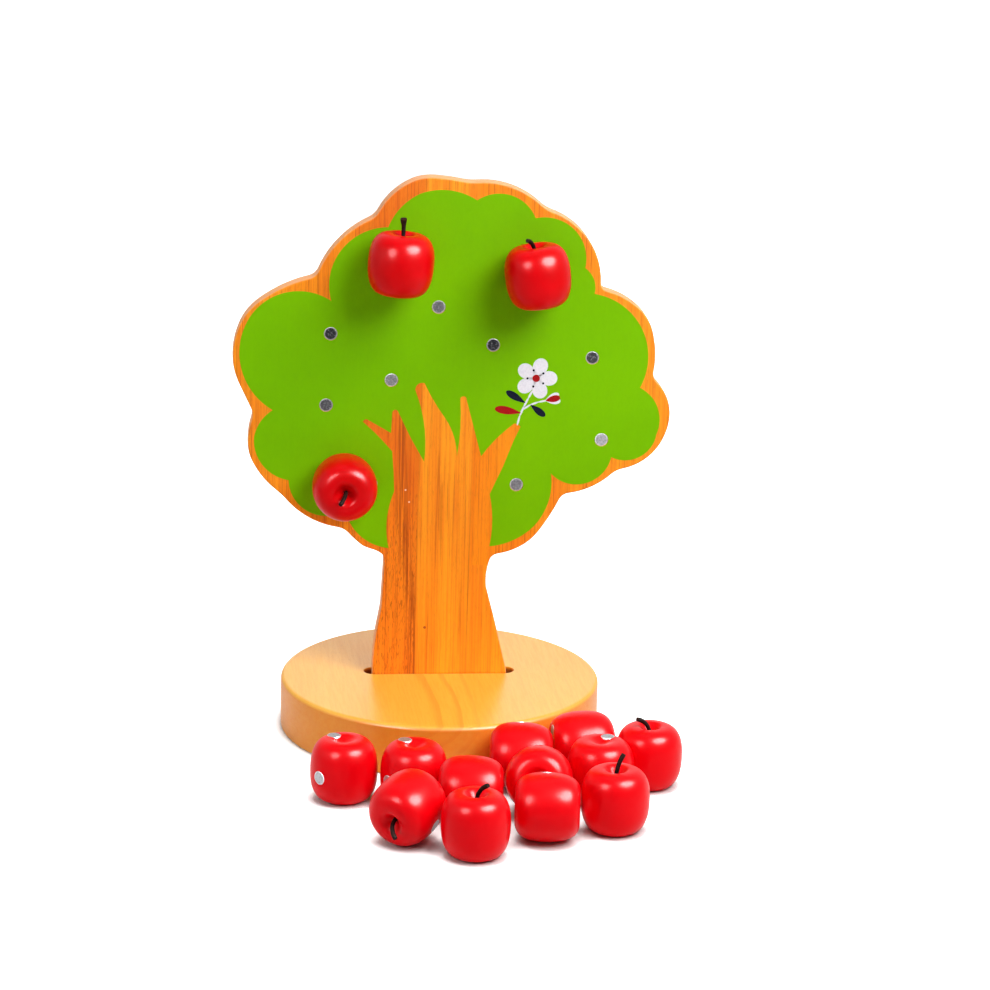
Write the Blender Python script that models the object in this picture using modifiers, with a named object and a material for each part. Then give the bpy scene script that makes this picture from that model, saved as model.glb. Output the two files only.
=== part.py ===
"""Magnetic apple tree toy: a flat wooden tree that stands in a slot across a round base,
with metal discs in its front, and fifteen turned apples that hold on to the discs by
magnets. Metres, +Z up. The origin is the centre of the base's underside, and the
printed front of the tree faces -Y.
"""

import math

import bmesh
import bpy
from mathutils import Matrix, Vector

# Driving sizes

base_diameter = 0.170
base_thickness = 0.0275
base_top_round = 0.0025
base_foot_round = 0.0012

board_thickness = 0.0105
board_edge_round = 0.0008
tree_height = 0.2695
crown_width = 0.230
trunk_foot_width = 0.0724
valley_reach = 0.0035

slot_depth = 0.016
slot_setback = 0.006
slot_side_clearance = 0.0004
slot_end_clearance = 0.0042

print_thickness = 0.0002

apple_diameter = 0.034
apple_height = 0.032
apple_widest_share = 0.53
apple_pitch_share = 1.0625
apple_roundness = 2.5
apple_rim_radius = 0.0070
top_dimple_depth = 0.0050
apple_foot_radius = 0.0075
base_dimple_depth = 0.0022

stem_radius = 0.0011
stem_tip_radius = 0.0016
stem_fold_share = 1.3
stem_length = 0.0135
stem_hole_depth = 0.004

disc_diameter = 0.007
disc_thickness = 0.003
disc_recess = 0.0003

clearance = 0.0003
overrun = 0.002

# Fineness of the round shapes

base_steps = 56
slot_end_steps = 10
apple_steps = 16
profile_steps = 4
top_dimple_steps = 2
base_dimple_steps = 1
disc_sides = 12
arc_step = math.radians(15)
blend_steps = 3

# Sizes that follow from the driving sizes

base_radius = base_diameter / 2
apple_radius = apple_diameter / 2
disc_radius = disc_diameter / 2
pocket_radius = disc_radius + clearance
board_front = slot_setback - board_thickness / 2
board_foot = base_thickness - slot_depth + clearance
apple_widest = apple_height * apple_widest_share
apple_middle = apple_height / 2
stem_hole_radius = stem_radius + clearance
base_magnet_seat = clearance / 5
apple_pitch = max(apple_diameter, apple_height * apple_pitch_share)

# The tree's outline from the left side of the foot, clockwise round the front: across
# in crown widths, up in tree heights above the base, and the rise of the arc to the
# next point over half its chord, outwards positive

trunk_left_shares = (
    (-0.140, 0.131, -0.01),
    (-0.134, 0.232, 0.00),
)
crown_shares = (
    (-0.136, 0.246, -0.18),
    (-0.175, 0.260, 0.07),
    (-0.227, 0.302, 0.22),
    (-0.371, 0.372, 0.16),
    (-0.447, 0.456, 0.13),
    (-0.435, 0.534, 0.03),
    (-0.480, 0.618, 0.21),
    (-0.447, 0.739, 0.14),
    (-0.296, 0.804, 0.22),
    (-0.163, 0.921, 0.24),
    (-0.054, 0.999, 0.06),
    (0.051, 0.988, 0.25),
    (0.222, 0.937, 0.37),
    (0.350, 0.782, 0.20),
    (0.463, 0.723, 0.16),
    (0.476, 0.605, 0.33),
    (0.514, 0.501, 0.32),
    (0.400, 0.420, 0.20),
    (0.276, 0.371, 0.07),
    (0.212, 0.282, 0.18),
)
trunk_right_shares = (
    (0.112, 0.249, 0.00),
    (0.120, 0.245, -0.20),
    (0.114, 0.148, 0.02),
)
foot_side_rise = 0.06

# The printed crown: its lobes meet in sharp points, and the bare trunk and branches
# cut into it from below

print_lobe_shares = (
    (-0.124, 0.261, 0.32),
    (-0.224, 0.337, 0.57),
    (-0.355, 0.400, 0.39),
    (-0.434, 0.487, 0.21),
    (-0.392, 0.541, 0.42),
    (-0.444, 0.726, 0.42),
    (-0.261, 0.757, 0.50),
    (-0.135, 0.902, 0.19),
    (-0.065, 0.967, 0.24),
    (0.064, 0.955, 0.48),
    (0.197, 0.921, 0.54),
    (0.313, 0.824, 0.31),
    (0.336, 0.773, 0.51),
    (0.448, 0.586, 0.39),
    (0.490, 0.492, 0.52),
    (0.387, 0.446, 0.62),
    (0.248, 0.413, 0.23),
    (0.211, 0.304, 0.18),
)
branch_shares = (
    (0.110, 0.264, -0.10),
    (0.108, 0.371, -0.03),
    (0.161, 0.481, 0.00),
    (0.175, 0.507, -0.30),
    (0.160, 0.514, -0.08),
    (0.086, 0.448, 0.00),
    (0.050, 0.562, -0.90),
    (0.035, 0.564, 0.06),
    (0.030, 0.448, -0.14),
    (0.004, 0.522, 0.05),
    (-0.047, 0.595, -0.55),
    (-0.068, 0.581, 0.12),
    (-0.045, 0.437, 0.03),
    (-0.107, 0.539, -0.70),
    (-0.120, 0.536, 0.00),
    (-0.122, 0.495, 0.00),
    (-0.176, 0.522, -0.40),
    (-0.187, 0.518, 0.04),
    (-0.119, 0.458, 0.02),
    (-0.113, 0.377, -0.15),
)

# The discs in the tree, placed like its outline

free_disc_shares = (
    (-0.262, 0.693),
    (-0.018, 0.746),
    (0.108, 0.671),
    (0.336, 0.646),
    (-0.123, 0.601),
    (-0.271, 0.551),
    (0.363, 0.481),
    (0.169, 0.390),
)
held_disc_shares = (
    (-0.110, 0.847),
    (0.197, 0.825),
    (-0.230, 0.431),
)

# The hung apples, one on each held disc: which magnet holds it, how far it leans to
# the right, and its stem's lean and spin, in degrees

hung_apples = (
    ("side", 4, 12, 60),
    ("side", -8, 70, 60),
    ("base", 0, 38, 135),
)

# The loose apples: across, and forwards from the base's front rim, in shares of the
# apples' pitch, then in degrees the tilt from upright, the heading that the stem end
# tips towards, the spin about the stem's axis, and the stem's lean and spin. A stem
# whose lean is None is folded into its dimple.

loose_apple_shares = (
    (-1.659, 0.774, 180, 0, 50, None, 180),
    (-0.635, 1.003, 180, 0, 55, None, 0),
    (-0.825, 2.502, 104, 234, 157.5, 60, 260),
    (0.106, 3.047, 0, 0, 180, 60, 140),
    (0.145, 1.775, 90, 173, 67.5, None, 0),
    (1.016, 0.376, 90, 173, 292.5, None, 0),
    (1.176, 1.454, 72, 260, 90, None, 0),
    (1.186, 2.500, 90, 173, 292.5, None, 0),
    (1.985, -0.095, 90, 7, 180, None, 90),
    (2.144, 0.953, 180, 0, 122, None, 90),
    (2.212, 2.153, 0, 0, 180, 30, 190),
    (2.952, 0.350, 0, 0, 180, 70, 20),
)


# Materials and collections


def new_material(name, colour, roughness, metallic=0.0):
    made = bpy.data.materials.new(name)
    made.use_nodes = True
    shader = made.node_tree.nodes["Principled BSDF"]
    shader.inputs["Base Color"].default_value = (*colour, 1.0)
    shader.inputs["Roughness"].default_value = roughness
    shader.inputs["Metallic"].default_value = metallic
    made.diffuse_color = (*colour, 1.0)
    return made


def new_collection(name):
    made = bpy.data.collections.new(name)
    bpy.context.scene.collection.children.link(made)
    return made


def new_object(name, data, collection, material=None):
    made = bpy.data.objects.new(name, data)
    collection.objects.link(made)
    if material and not data.materials:
        data.materials.append(material)
    return made


def hide_cutter(cutter):
    cutter.hide_render = True
    cutter.display_type = "WIRE"


# Outlines


def tree_point(share):
    """A place on the tree's face: x across, y up."""
    return Vector((share[0] * crown_width, base_thickness + share[1] * tree_height))


def arc_between(start, end, rise):
    """The arc's centre, radius, first angle and sweep; it bulges to the left."""
    chord = end - start
    half_angle = 2 * math.atan(rise)
    radius = chord.length / (2 * math.sin(half_angle))
    left = Vector((-chord.y, chord.x)).normalized()
    centre = (start + end) / 2 - left * (radius * math.cos(half_angle))
    spoke = start - centre
    first = math.atan2(spoke.y, spoke.x)
    if radius < 0:
        return centre, -radius, first, -2 * half_angle
    return centre, radius, first, -2 * half_angle


def run_points(start, end, rise, skip_start, skip_end):
    """Points along a straight or curved run, less the lengths skipped at its ends."""
    if rise == 0:
        length = (end - start).length
        ends = (skip_start / length, 1 - skip_end / length)
        return [start.lerp(end, share) for share in ends]
    centre, radius, first, sweep = arc_between(start, end, rise)
    length = radius * abs(sweep)
    low, high = skip_start / length, 1 - skip_end / length
    count = max(1, math.ceil((high - low) * abs(sweep) / arc_step))
    points = []
    for step in range(count + 1):
        angle = first + sweep * (low + (high - low) * step / count)
        points.append(centre + radius * Vector((math.cos(angle), math.sin(angle))))
    return points


def end_direction(start, end, rise, at_end):
    """The run's direction of travel at its start or its end."""
    turn = 2 * math.atan(rise)
    heading = math.atan2(end.y - start.y, end.x - start.x)
    heading += -turn if at_end else turn
    return Vector((math.cos(heading), math.sin(heading)))


def meeting_point(first, first_way, second, second_way):
    """Where two lines cross, or halfway between their points if they are parallel."""
    cross = first_way.x * second_way.y - first_way.y * second_way.x
    if abs(cross) < math.sin(arc_step / 4):
        return (first + second) / 2
    gap = second - first
    along = (gap.x * second_way.y - gap.y * second_way.x) / cross
    return first + first_way * along


def corner_reach(run, next_run, reach):
    """How far a hollow corner's blend reaches, or 0 where the outline turns outwards."""
    before = end_direction(*run, True)
    after = end_direction(*next_run, False)
    if before.x * after.y - before.y * after.x < math.sin(arc_step / 2):
        return 0.0
    return min(reach, (run[1] - run[0]).length / 3, (next_run[1] - next_run[0]).length / 3)


def closed_outline(corners, reach=0.0):
    """Points round the corners, clockwise, with the hollow corners blended by reach."""
    runs = []
    for index, (start, rise) in enumerate(corners):
        runs.append((start, corners[(index + 1) % len(corners)][0], rise))
    reaches = [corner_reach(runs[index - 1], run, reach) for index, run in enumerate(runs)]
    points = []
    for index, run in enumerate(runs):
        after = (index + 1) % len(runs)
        stretch = run_points(*run, reaches[index], reaches[after])
        points += stretch if reaches[index] else stretch[1:]
        if reaches[after]:
            points += blended_corner(stretch, runs[after], reaches[after])
    return points


def blended_corner(stretch, next_run, reach):
    """The points inside a hollow corner, between the stretch's end and the next run."""
    start = stretch[-1]
    end = run_points(*next_run, reach, 0.0)[0]
    before = (stretch[-1] - stretch[-2]).normalized()
    after = end_direction(*next_run, False)
    middle = meeting_point(start, before, end, after)
    points = []
    for step in range(1, blend_steps):
        share = step / blend_steps
        points.append(start.lerp(middle, share).lerp(middle.lerp(end, share), share))
    return points


# Solids


def as_mesh(source, name, collection, material):
    """The evaluated object as a mesh object of its own, in the source's place."""
    graph = bpy.context.evaluated_depsgraph_get()
    mesh = bpy.data.meshes.new_from_object(source.evaluated_get(graph))
    welded = bmesh.new()
    welded.from_mesh(mesh)
    bmesh.ops.remove_doubles(welded, verts=welded.verts, dist=clearance / 100)
    welded.to_mesh(mesh)
    welded.free()
    mesh.name = name
    mesh.materials.clear()
    made = new_object(name, mesh, collection, material)
    made.matrix_world = source.matrix_world
    bpy.data.objects.remove(source)
    return made


def flat_curve(outlines, thickness, edge_round, collection):
    """Closed outlines filled and given a thickness, with the edges rounded inwards."""
    curve = bpy.data.curves.new("outline", "CURVE")
    curve.dimensions = "2D"
    curve.fill_mode = "BOTH"
    curve.extrude = thickness / 2 - edge_round
    curve.bevel_depth = edge_round
    curve.bevel_resolution = 1 if edge_round else 0
    curve.offset = -edge_round
    for outline in outlines:
        spline = curve.splines.new("POLY")
        spline.points.add(len(outline) - 1)
        for point, place in zip(spline.points, outline):
            point.co = (place.x, place.y, 0.0, 1.0)
        spline.use_cyclic_u = True
    return new_object("outline", curve, collection)


def upright_plate(name, outlines, front, thickness, edge_round, collection, material):
    """A plate whose outlines lie in the XZ plane and whose front is at y = front."""
    flat = flat_curve(outlines, thickness, edge_round, collection)
    flat.matrix_world = Matrix.Translation((0, front + thickness / 2, 0)) @ Matrix.Rotation(
        math.pi / 2, 4, "X"
    )
    bpy.context.view_layer.update()
    return as_mesh(flat, name, collection, material)


def turned(name, profile, steps, collection, material):
    """A profile of radius and height, spun round Z by a Screw modifier."""
    mesh = bpy.data.meshes.new(name)
    points = [(radius, 0.0, height) for radius, height in profile]
    edges = [(index, index + 1) for index in range(len(points) - 1)]
    mesh.from_pydata(points, edges, [])
    made = new_object(name, mesh, collection, material)
    screw = made.modifiers.new("Turn", "SCREW")
    screw.axis = "Z"
    screw.angle = math.tau
    screw.steps = steps
    screw.render_steps = steps
    screw.use_merge_vertices = True
    screw.merge_threshold = clearance / 100
    screw.use_smooth_shade = True
    return made


def cylinder_mesh(name, radius, length, sides):
    """A cylinder from z = 0 up to its length."""
    shape = bmesh.new()
    bmesh.ops.create_cone(
        shape,
        cap_ends=True,
        segments=sides,
        radius1=radius,
        radius2=radius,
        depth=length,
        matrix=Matrix.Translation((0, 0, length / 2)),
    )
    mesh = bpy.data.meshes.new(name)
    shape.to_mesh(mesh)
    shape.free()
    return mesh


def cut(target, cutter):
    boolean = target.modifiers.new(cutter.name, "BOOLEAN")
    boolean.operation = "DIFFERENCE"
    boolean.solver = "EXACT"
    boolean.object = cutter
    hide_cutter(cutter)
    return boolean


def shade_round(made):
    made.data.shade_smooth()
    made.data.set_sharp_from_angle(angle=math.radians(35))


# The base


def quarter_round(corner_radius, corner_height, radius, first):
    """Points of a rounded corner from the angle first, in degrees, down 90 degrees."""
    points = []
    for step in range(4):
        angle = math.radians(first - 30 * step)
        across = corner_radius + radius * math.cos(angle)
        points.append((across, corner_height + radius * math.sin(angle)))
    return points


def make_base(parts, cutters, material):
    profile = [(0.0, base_thickness)]
    profile += quarter_round(
        base_radius - base_top_round, base_thickness - base_top_round, base_top_round, 90
    )
    profile += quarter_round(
        base_radius - base_foot_round, base_foot_round, base_foot_round, 0
    )
    profile.append((0.0, 0.0))
    base = turned("base", profile, base_steps, parts, material)
    cut(base, make_slot_cutter(cutters))


def make_slot_cutter(cutters):
    """A straight slot with round ends, open at the top of the base."""
    radius = board_thickness / 2 + slot_side_clearance
    reach = trunk_foot_width / 2 + slot_end_clearance - radius
    outline = []
    for side in (1, -1):
        for step in range(slot_end_steps + 1):
            angle = side * (math.pi / 2 - math.pi * step / slot_end_steps)
            across = side * (reach + radius * abs(math.cos(angle)))
            outline.append(Vector((across, side * radius * math.sin(side * angle))))
    depth = slot_depth + overrun
    flat = flat_curve([outline], depth, 0.0, cutters)
    centre = (0, slot_setback, base_thickness - slot_depth + depth / 2)
    flat.matrix_world = Matrix.Translation(centre)
    bpy.context.view_layer.update()
    return as_mesh(flat, "slot_cutter", cutters, None)


# The tree


def tree_outline():
    half_foot = trunk_foot_width / 2
    corners = [
        (Vector((-half_foot, board_foot)), 0.0),
        (Vector((-half_foot, base_thickness)), foot_side_rise),
    ]
    for share in trunk_left_shares + crown_shares + trunk_right_shares:
        corners.append((tree_point(share), share[2]))
    corners.append((Vector((half_foot, base_thickness)), 0.0))
    corners.append((Vector((half_foot, board_foot)), 0.0))
    return closed_outline(corners, valley_reach)


def print_outline():
    corners = []
    for share in print_lobe_shares + branch_shares:
        corners.append((tree_point(share), share[2]))
    return closed_outline(corners)


def circle(centre, radius, sides):
    points = []
    for step in range(sides):
        angle = math.tau * step / sides
        points.append(centre + radius * Vector((math.cos(angle), math.sin(angle))))
    return points


def make_tree(parts, cutters, wood, green, steel):
    board = upright_plate(
        "tree_board",
        [tree_outline()],
        board_front,
        board_thickness,
        board_edge_round,
        parts,
        wood,
    )
    shade_round(board)
    places = [tree_point(share) for share in free_disc_shares + held_disc_shares]
    rings = [circle(place, pocket_radius, disc_sides) for place in places]
    upright_plate(
        "printed_crown",
        [print_outline()] + rings,
        board_front - print_thickness,
        print_thickness,
        0.0,
        parts,
        green,
    )
    pocket_mesh = cylinder_mesh(
        "board_pocket", pocket_radius, disc_recess + disc_thickness + clearance + overrun,
        disc_sides,
    )
    disc_mesh = cylinder_mesh("tree_disc", disc_radius, disc_thickness, disc_sides)
    disc_mesh.materials.append(steel)
    into_board = Matrix.Rotation(-math.pi / 2, 4, "X")
    for number, place in enumerate(places, 1):
        pocket = new_object(f"board_pocket_{number:02d}", pocket_mesh, cutters)
        start = (place.x, board_front - overrun, place.y)
        pocket.matrix_world = Matrix.Translation(start) @ into_board
        cut(board, pocket)
        disc = new_object(f"tree_disc_{number:02d}", disc_mesh, parts)
        start = (place.x, board_front + disc_recess, place.y)
        disc.matrix_world = Matrix.Translation(start) @ into_board


# The apples


def apple_profile():
    """Radius and height from the stem hole, over the shoulder, to the lower dimple."""
    hole_floor = apple_height - top_dimple_depth - stem_hole_depth
    profile = [(0.0, hole_floor), (stem_hole_radius, hole_floor)]
    for radius, drop in dimple(
        apple_rim_radius, top_dimple_depth, stem_hole_radius, top_dimple_steps
    ):
        profile.append((radius, apple_height - drop))
    profile += body_quarter(apple_rim_radius, apple_height - apple_widest, 1)
    profile += body_quarter(apple_foot_radius, apple_widest, -1)[1:]
    profile += dimple(apple_foot_radius, base_dimple_depth, 0.0, base_dimple_steps)[::-1]
    return profile


def dimple(rim_radius, depth, inner_radius, steps):
    """Radius and drop below the rim of a soft hollow, from its inner radius outwards."""
    points = []
    for step in range(steps + 1):
        radius = inner_radius + (rim_radius - inner_radius) * step / (steps + 1)
        points.append((radius, depth * (1 + math.cos(math.pi * radius / rim_radius)) / 2))
    return points


def body_quarter(inner_radius, height, side):
    """A quarter of the body's side, above or below its widest ring, top to bottom."""
    points = []
    power = 2 / apple_roundness
    for step in range(profile_steps + 1):
        angle = math.pi / 2 * (1 - step / profile_steps if side > 0 else step / profile_steps)
        across = inner_radius + (apple_radius - inner_radius) * math.cos(angle) ** power
        points.append((across, apple_widest + side * height * math.sin(angle) ** power))
    return points


def make_apple_body_mesh(cutters, material):
    """One body with a pocket in its side and a fused disc on the rim of its foot."""
    body = turned("apple_pattern", apple_profile(), apple_steps, cutters, material)
    side_depth = disc_thickness + disc_recess + clearance
    side_pocket = new_object(
        "side_pocket",
        cylinder_mesh("side_pocket", pocket_radius, side_depth + overrun, disc_sides),
        cutters,
    )
    side_pocket.matrix_world = Matrix.Translation(
        (0, -apple_radius - overrun, apple_widest)
    ) @ Matrix.Rotation(-math.pi / 2, 4, "X")
    base_disc = new_object(
        "base_disc",
        cylinder_mesh("base_disc", disc_radius, disc_thickness, disc_sides),
        cutters,
    )
    base_disc.matrix_world = Matrix.Translation((apple_foot_radius, 0, base_magnet_seat))
    cut(body, side_pocket)
    cut(body, base_disc).operation = "UNION"
    bpy.context.view_layer.update()
    made = as_mesh(body, "apple_body", cutters, material)
    shade_round(made)
    mesh = made.data
    mesh.transform(Matrix.Translation((0, 0, -apple_middle)))
    bpy.data.objects.remove(made)
    return mesh


def stem_points(lean):
    """The stem's centre line from its hole: straight, then bent over by the lean."""
    foot = apple_height - top_dimple_depth - stem_hole_depth + clearance - apple_middle
    root = apple_height - top_dimple_depth - apple_middle
    if lean is None:
        return folded_stem_points(foot)
    points = [Vector((0, 0, foot)), Vector((0, 0, root))]
    bend_steps = 3
    step_length = stem_length / (bend_steps + 1)
    for step in range(bend_steps + 1):
        angle = math.radians(lean) * min(1.0, (step + 0.5) / bend_steps)
        way = Vector((math.sin(angle), 0, math.cos(angle)))
        points.append(points[-1] + step_length * way)
    return points


def folded_stem_points(foot):
    """A stem that lies over inside its dimple, below the apple's rim."""
    rest = apple_height - apple_middle - stem_tip_radius - clearance
    bend = stem_radius * stem_fold_share
    points = [Vector((0, 0, foot))]
    for step in range(4):
        angle = math.radians(30 * step)
        across = bend * (1 - math.cos(angle))
        points.append(Vector((across, 0, rest - bend + bend * math.sin(angle))))
    points.append(Vector((bend + stem_radius / 2, 0, rest)))
    return points


def make_stem_mesh(lean, scratch, material):
    curve = bpy.data.curves.new("stem", "CURVE")
    curve.dimensions = "3D"
    curve.bevel_depth = stem_radius
    curve.bevel_resolution = 1
    curve.use_fill_caps = True
    places = stem_points(lean)
    spline = curve.splines.new("POLY")
    spline.points.add(len(places) - 1)
    for point, place in zip(spline.points, places):
        point.co = (*place, 1.0)
    spline.points[-1].radius = stem_tip_radius / stem_radius
    source = new_object("stem", curve, scratch)
    bpy.context.view_layer.update()
    made = as_mesh(source, "apple_stem", scratch, material)
    shade_round(made)
    mesh = made.data
    bpy.data.objects.remove(made)
    return mesh


def reach_along(direction_cosine):
    """How far the body reaches from its middle against a direction at this cosine."""
    sine = math.sqrt(max(0.0, 1 - direction_cosine**2))
    reaches = []
    for radius, height in apple_profile():
        reaches.append(radius * sine - (height - apple_middle) * direction_cosine)
    return max(reaches)


def apple_frame(number, place, rotation, parts):
    """An empty at the apple's middle, which carries its pieces."""
    frame = bpy.data.objects.new(f"apple_{number:02d}", None)
    parts.objects.link(frame)
    frame.empty_display_size = apple_radius
    frame.matrix_world = Matrix.Translation(place) @ rotation
    return frame


def turn(axis, degrees):
    return Matrix.Rotation(math.radians(degrees), 4, axis)


def make_apple(number, frame, meshes, lean, stem_spin, parts):
    body = new_object(f"apple_{number:02d}_body", meshes["body"], parts)
    stem = new_object(f"apple_{number:02d}_stem", meshes[lean], parts)
    stem.rotation_euler.z = math.radians(stem_spin)
    magnet = new_object(f"apple_{number:02d}_side_magnet", meshes["magnet"], parts)
    magnet.location = (0, disc_recess / 2 - apple_radius, apple_widest - apple_middle)
    magnet.rotation_euler.x = -math.pi / 2
    for piece in (body, stem, magnet):
        piece.parent = frame


def hung_frame(number, kind, lean, share, parts):
    """The frame of an apple whose side or base magnet lies on a disc of the tree."""
    disc = tree_point(share)
    if kind == "side":
        rotation = turn("Y", lean) @ turn("Z", 180)
        magnet = Vector((0, -apple_radius, apple_widest - apple_middle))
    else:
        rotation = turn("X", 90) @ turn("Z", 90)
        magnet = Vector((apple_foot_radius, 0, -apple_middle))
    offset = rotation.to_3x3() @ magnet
    touch = Vector((disc.x, board_front - print_thickness - clearance, disc.y))
    return apple_frame(number, touch - offset, rotation, parts)


def loose_frame(number, row, parts):
    """The frame of an apple that rests on the table in front of the base."""
    across, forwards, tilt, heading, spin = row[:5]
    place = (
        across * apple_pitch,
        -base_radius - forwards * apple_pitch,
        reach_along(math.cos(math.radians(tilt))),
    )
    rotation = turn("Z", heading) @ turn("Y", tilt) @ turn("Z", spin)
    return apple_frame(number, place, rotation, parts)


def make_apples(parts, cutters, red, dark, steel):
    meshes = {"body": make_apple_body_mesh(cutters, red)}
    meshes["magnet"] = cylinder_mesh("apple_magnet", disc_radius, disc_thickness, disc_sides)
    meshes["magnet"].materials.append(steel)
    leans = {row[2] for row in hung_apples} | {row[5] for row in loose_apple_shares}
    for lean in sorted(leans, key=str):
        meshes[lean] = make_stem_mesh(lean, cutters, dark)
    for number, (row, share) in enumerate(zip(hung_apples, held_disc_shares), 1):
        kind, side_lean, lean, stem_spin = row
        frame = hung_frame(number, kind, side_lean, share, parts)
        make_apple(number, frame, meshes, lean, stem_spin, parts)
    for number, row in enumerate(loose_apple_shares, len(hung_apples) + 1):
        frame = loose_frame(number, row, parts)
        make_apple(number, frame, meshes, row[5], row[6], parts)


def main():
    for old in list(bpy.data.objects):
        bpy.data.objects.remove(old)
    parts = new_collection("magnetic_apple_tree")
    cutters = new_collection("cutters")
    pale_wood = new_material("lacquered_pale_wood", (0.88, 0.58, 0.28), 0.35)
    warm_wood = new_material("oiled_warm_wood", (0.85, 0.32, 0.05), 0.5)
    green = new_material("printed_green", (0.20, 0.46, 0.01), 0.45)
    red = new_material("red_lacquer", (0.70, 0.01, 0.02), 0.15)
    dark = new_material("dark_stem", (0.03, 0.02, 0.015), 0.6)
    steel = new_material("nickel_plate", (0.62, 0.62, 0.60), 0.35, 1.0)
    make_base(parts, cutters, pale_wood)
    make_tree(parts, cutters, warm_wood, green, steel)
    make_apples(parts, cutters, red, dark, steel)


main()
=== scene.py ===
# %% [markdown]
# # A magnetic apple tree
#
# This lesson dresses a wooden toy for a studio photograph. The CAD model already says where
# every piece is and how it moves, so each finer piece made here is put exactly where its CAD
# node is, and then stands for that node. Reading it from top to bottom follows the maker's
# order: the studio, the woods and finishes, the base, the tree, its print and discs, and
# last the apples.

# %% The frame
import math

import bmesh
import bpy
from mathutils import Matrix, Vector


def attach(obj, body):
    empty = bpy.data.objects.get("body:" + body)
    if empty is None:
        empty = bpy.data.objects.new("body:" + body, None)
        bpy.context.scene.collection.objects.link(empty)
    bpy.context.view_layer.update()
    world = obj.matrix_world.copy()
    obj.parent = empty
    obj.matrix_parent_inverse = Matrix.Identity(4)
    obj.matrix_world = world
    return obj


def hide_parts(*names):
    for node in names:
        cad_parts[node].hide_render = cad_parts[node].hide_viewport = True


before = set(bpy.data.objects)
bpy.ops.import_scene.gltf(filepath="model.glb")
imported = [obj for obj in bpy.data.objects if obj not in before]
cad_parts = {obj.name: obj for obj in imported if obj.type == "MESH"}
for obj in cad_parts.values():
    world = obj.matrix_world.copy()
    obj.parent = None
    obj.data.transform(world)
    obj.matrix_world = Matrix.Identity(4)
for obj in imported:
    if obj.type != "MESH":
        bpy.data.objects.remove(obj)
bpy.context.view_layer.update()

# %% [markdown]
# ## The camera
#
# The photograph was taken from a little above and slightly to the left, with a long lens
# and the camera tipped by about a degree. A camera looks along its own -Z, so its matrix
# is built from three directions: right, up and back.

# %% The camera
photo_side = 990
lens_length = 117.0
sensor_width = 36.0
camera_place = Vector((-0.1324, -1.6308, 0.5902))
camera_target = Vector((0.02727, -0.00267, 0.1279))
camera_roll = math.radians(1.39)


def camera_directions():
    """The directions to the camera's right and up, and the way it looks."""
    ahead = (camera_target - camera_place).normalized()
    right = ahead.cross(Vector((0, 0, 1))).normalized()
    up = right.cross(ahead)
    tipped_right = math.cos(camera_roll) * right + math.sin(camera_roll) * up
    tipped_up = math.cos(camera_roll) * up - math.sin(camera_roll) * right
    return tipped_right, tipped_up, ahead


def new_object(name, data):
    """An object in the scene that shows the data."""
    made = bpy.data.objects.new(name, data)
    bpy.context.scene.collection.objects.link(made)
    return made


def add_camera():
    right, up, ahead = camera_directions()
    data = bpy.data.cameras.new("photo_camera")
    data.lens = lens_length
    data.sensor_width = sensor_width
    data.clip_start = 0.05
    data.clip_end = 50.0
    camera = new_object("photo_camera", data)
    axes = Matrix((right, up, -ahead)).transposed().to_4x4()
    camera.matrix_world = Matrix.Translation(camera_place) @ axes
    bpy.context.scene.camera = camera


add_camera()
distance = (camera_target - camera_place).length
print("one pixel covers", round(distance * sensor_width / lens_length / photo_side * 1000, 2), "mm")

# %% [markdown]
# ## Building shaders in code
#
# A node material is a small graph. A few short helpers keep the graphs readable: one adds a
# node and fills or links its sockets in the same call, one does arithmetic, and one lays a
# tint over a colour. Colours are written as the 0 to 255 numbers that a colour picker shows,
# and turned into the linear numbers that light adds up in.

# %% Colours
def paint(red, green, blue):
    """A colour, from 0 to 255, as a linear colour with alpha."""
    linear = []
    for value in (red, green, blue):
        share = value / 255
        linear.append(share / 12.92 if share <= 0.04045 else ((share + 0.055) / 1.055) ** 2.4)
    return (*linear, 1.0)


print("a mid grey of 128 is", round(paint(128, 128, 128)[0], 3), "in linear numbers")

# %% Nodes
def fill_sockets(tree, node, sockets):
    """Gives each socket of a node a value, or links another node's output to it."""
    for key, value in sockets.items():
        if isinstance(value, bpy.types.NodeSocket):
            tree.links.new(value, node.inputs[key])
        else:
            node.inputs[key].default_value = value


def add_node(tree, kind, sockets=None, **settings):
    """Adds a node with its settings and fills its sockets."""
    made = tree.nodes.new(kind)
    for name, value in settings.items():
        setattr(made, name, value)
    fill_sockets(tree, made, sockets or {})
    return made


def reckon(tree, operation, first, second=0.0, third=0.0, clamp=False):
    """The output of a Math node."""
    made = add_node(tree, "ShaderNodeMath", {0: first, 1: second, 2: third},
                    operation=operation, use_clamp=clamp)
    return made.outputs[0]


def times(tree, first, second):
    """The product of two values."""
    return reckon(tree, "MULTIPLY", first, second)


def measure(tree, operation, first, second=(0, 0, 0)):
    """The number that a Vector Math node gives."""
    made = add_node(tree, "ShaderNodeVectorMath", {0: first, 1: second}, operation=operation)
    return made.outputs["Value"]


def axes_of(tree, vector):
    """A vector's three numbers."""
    return add_node(tree, "ShaderNodeSeparateXYZ", {0: vector}).outputs


def mixed(tree, share, first, second):
    """The output of a colour Mix node."""
    made = add_node(tree, "ShaderNodeMix", {0: share, 6: first, 7: second}, data_type="RGBA")
    return made.outputs[2]


def tinted(tree, colour, mask, strength, tint):
    """A colour with a tint laid over it where the mask is 1, by a strength from 0 to 1."""
    return mixed(tree, times(tree, mask, strength), colour, tint)


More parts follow.
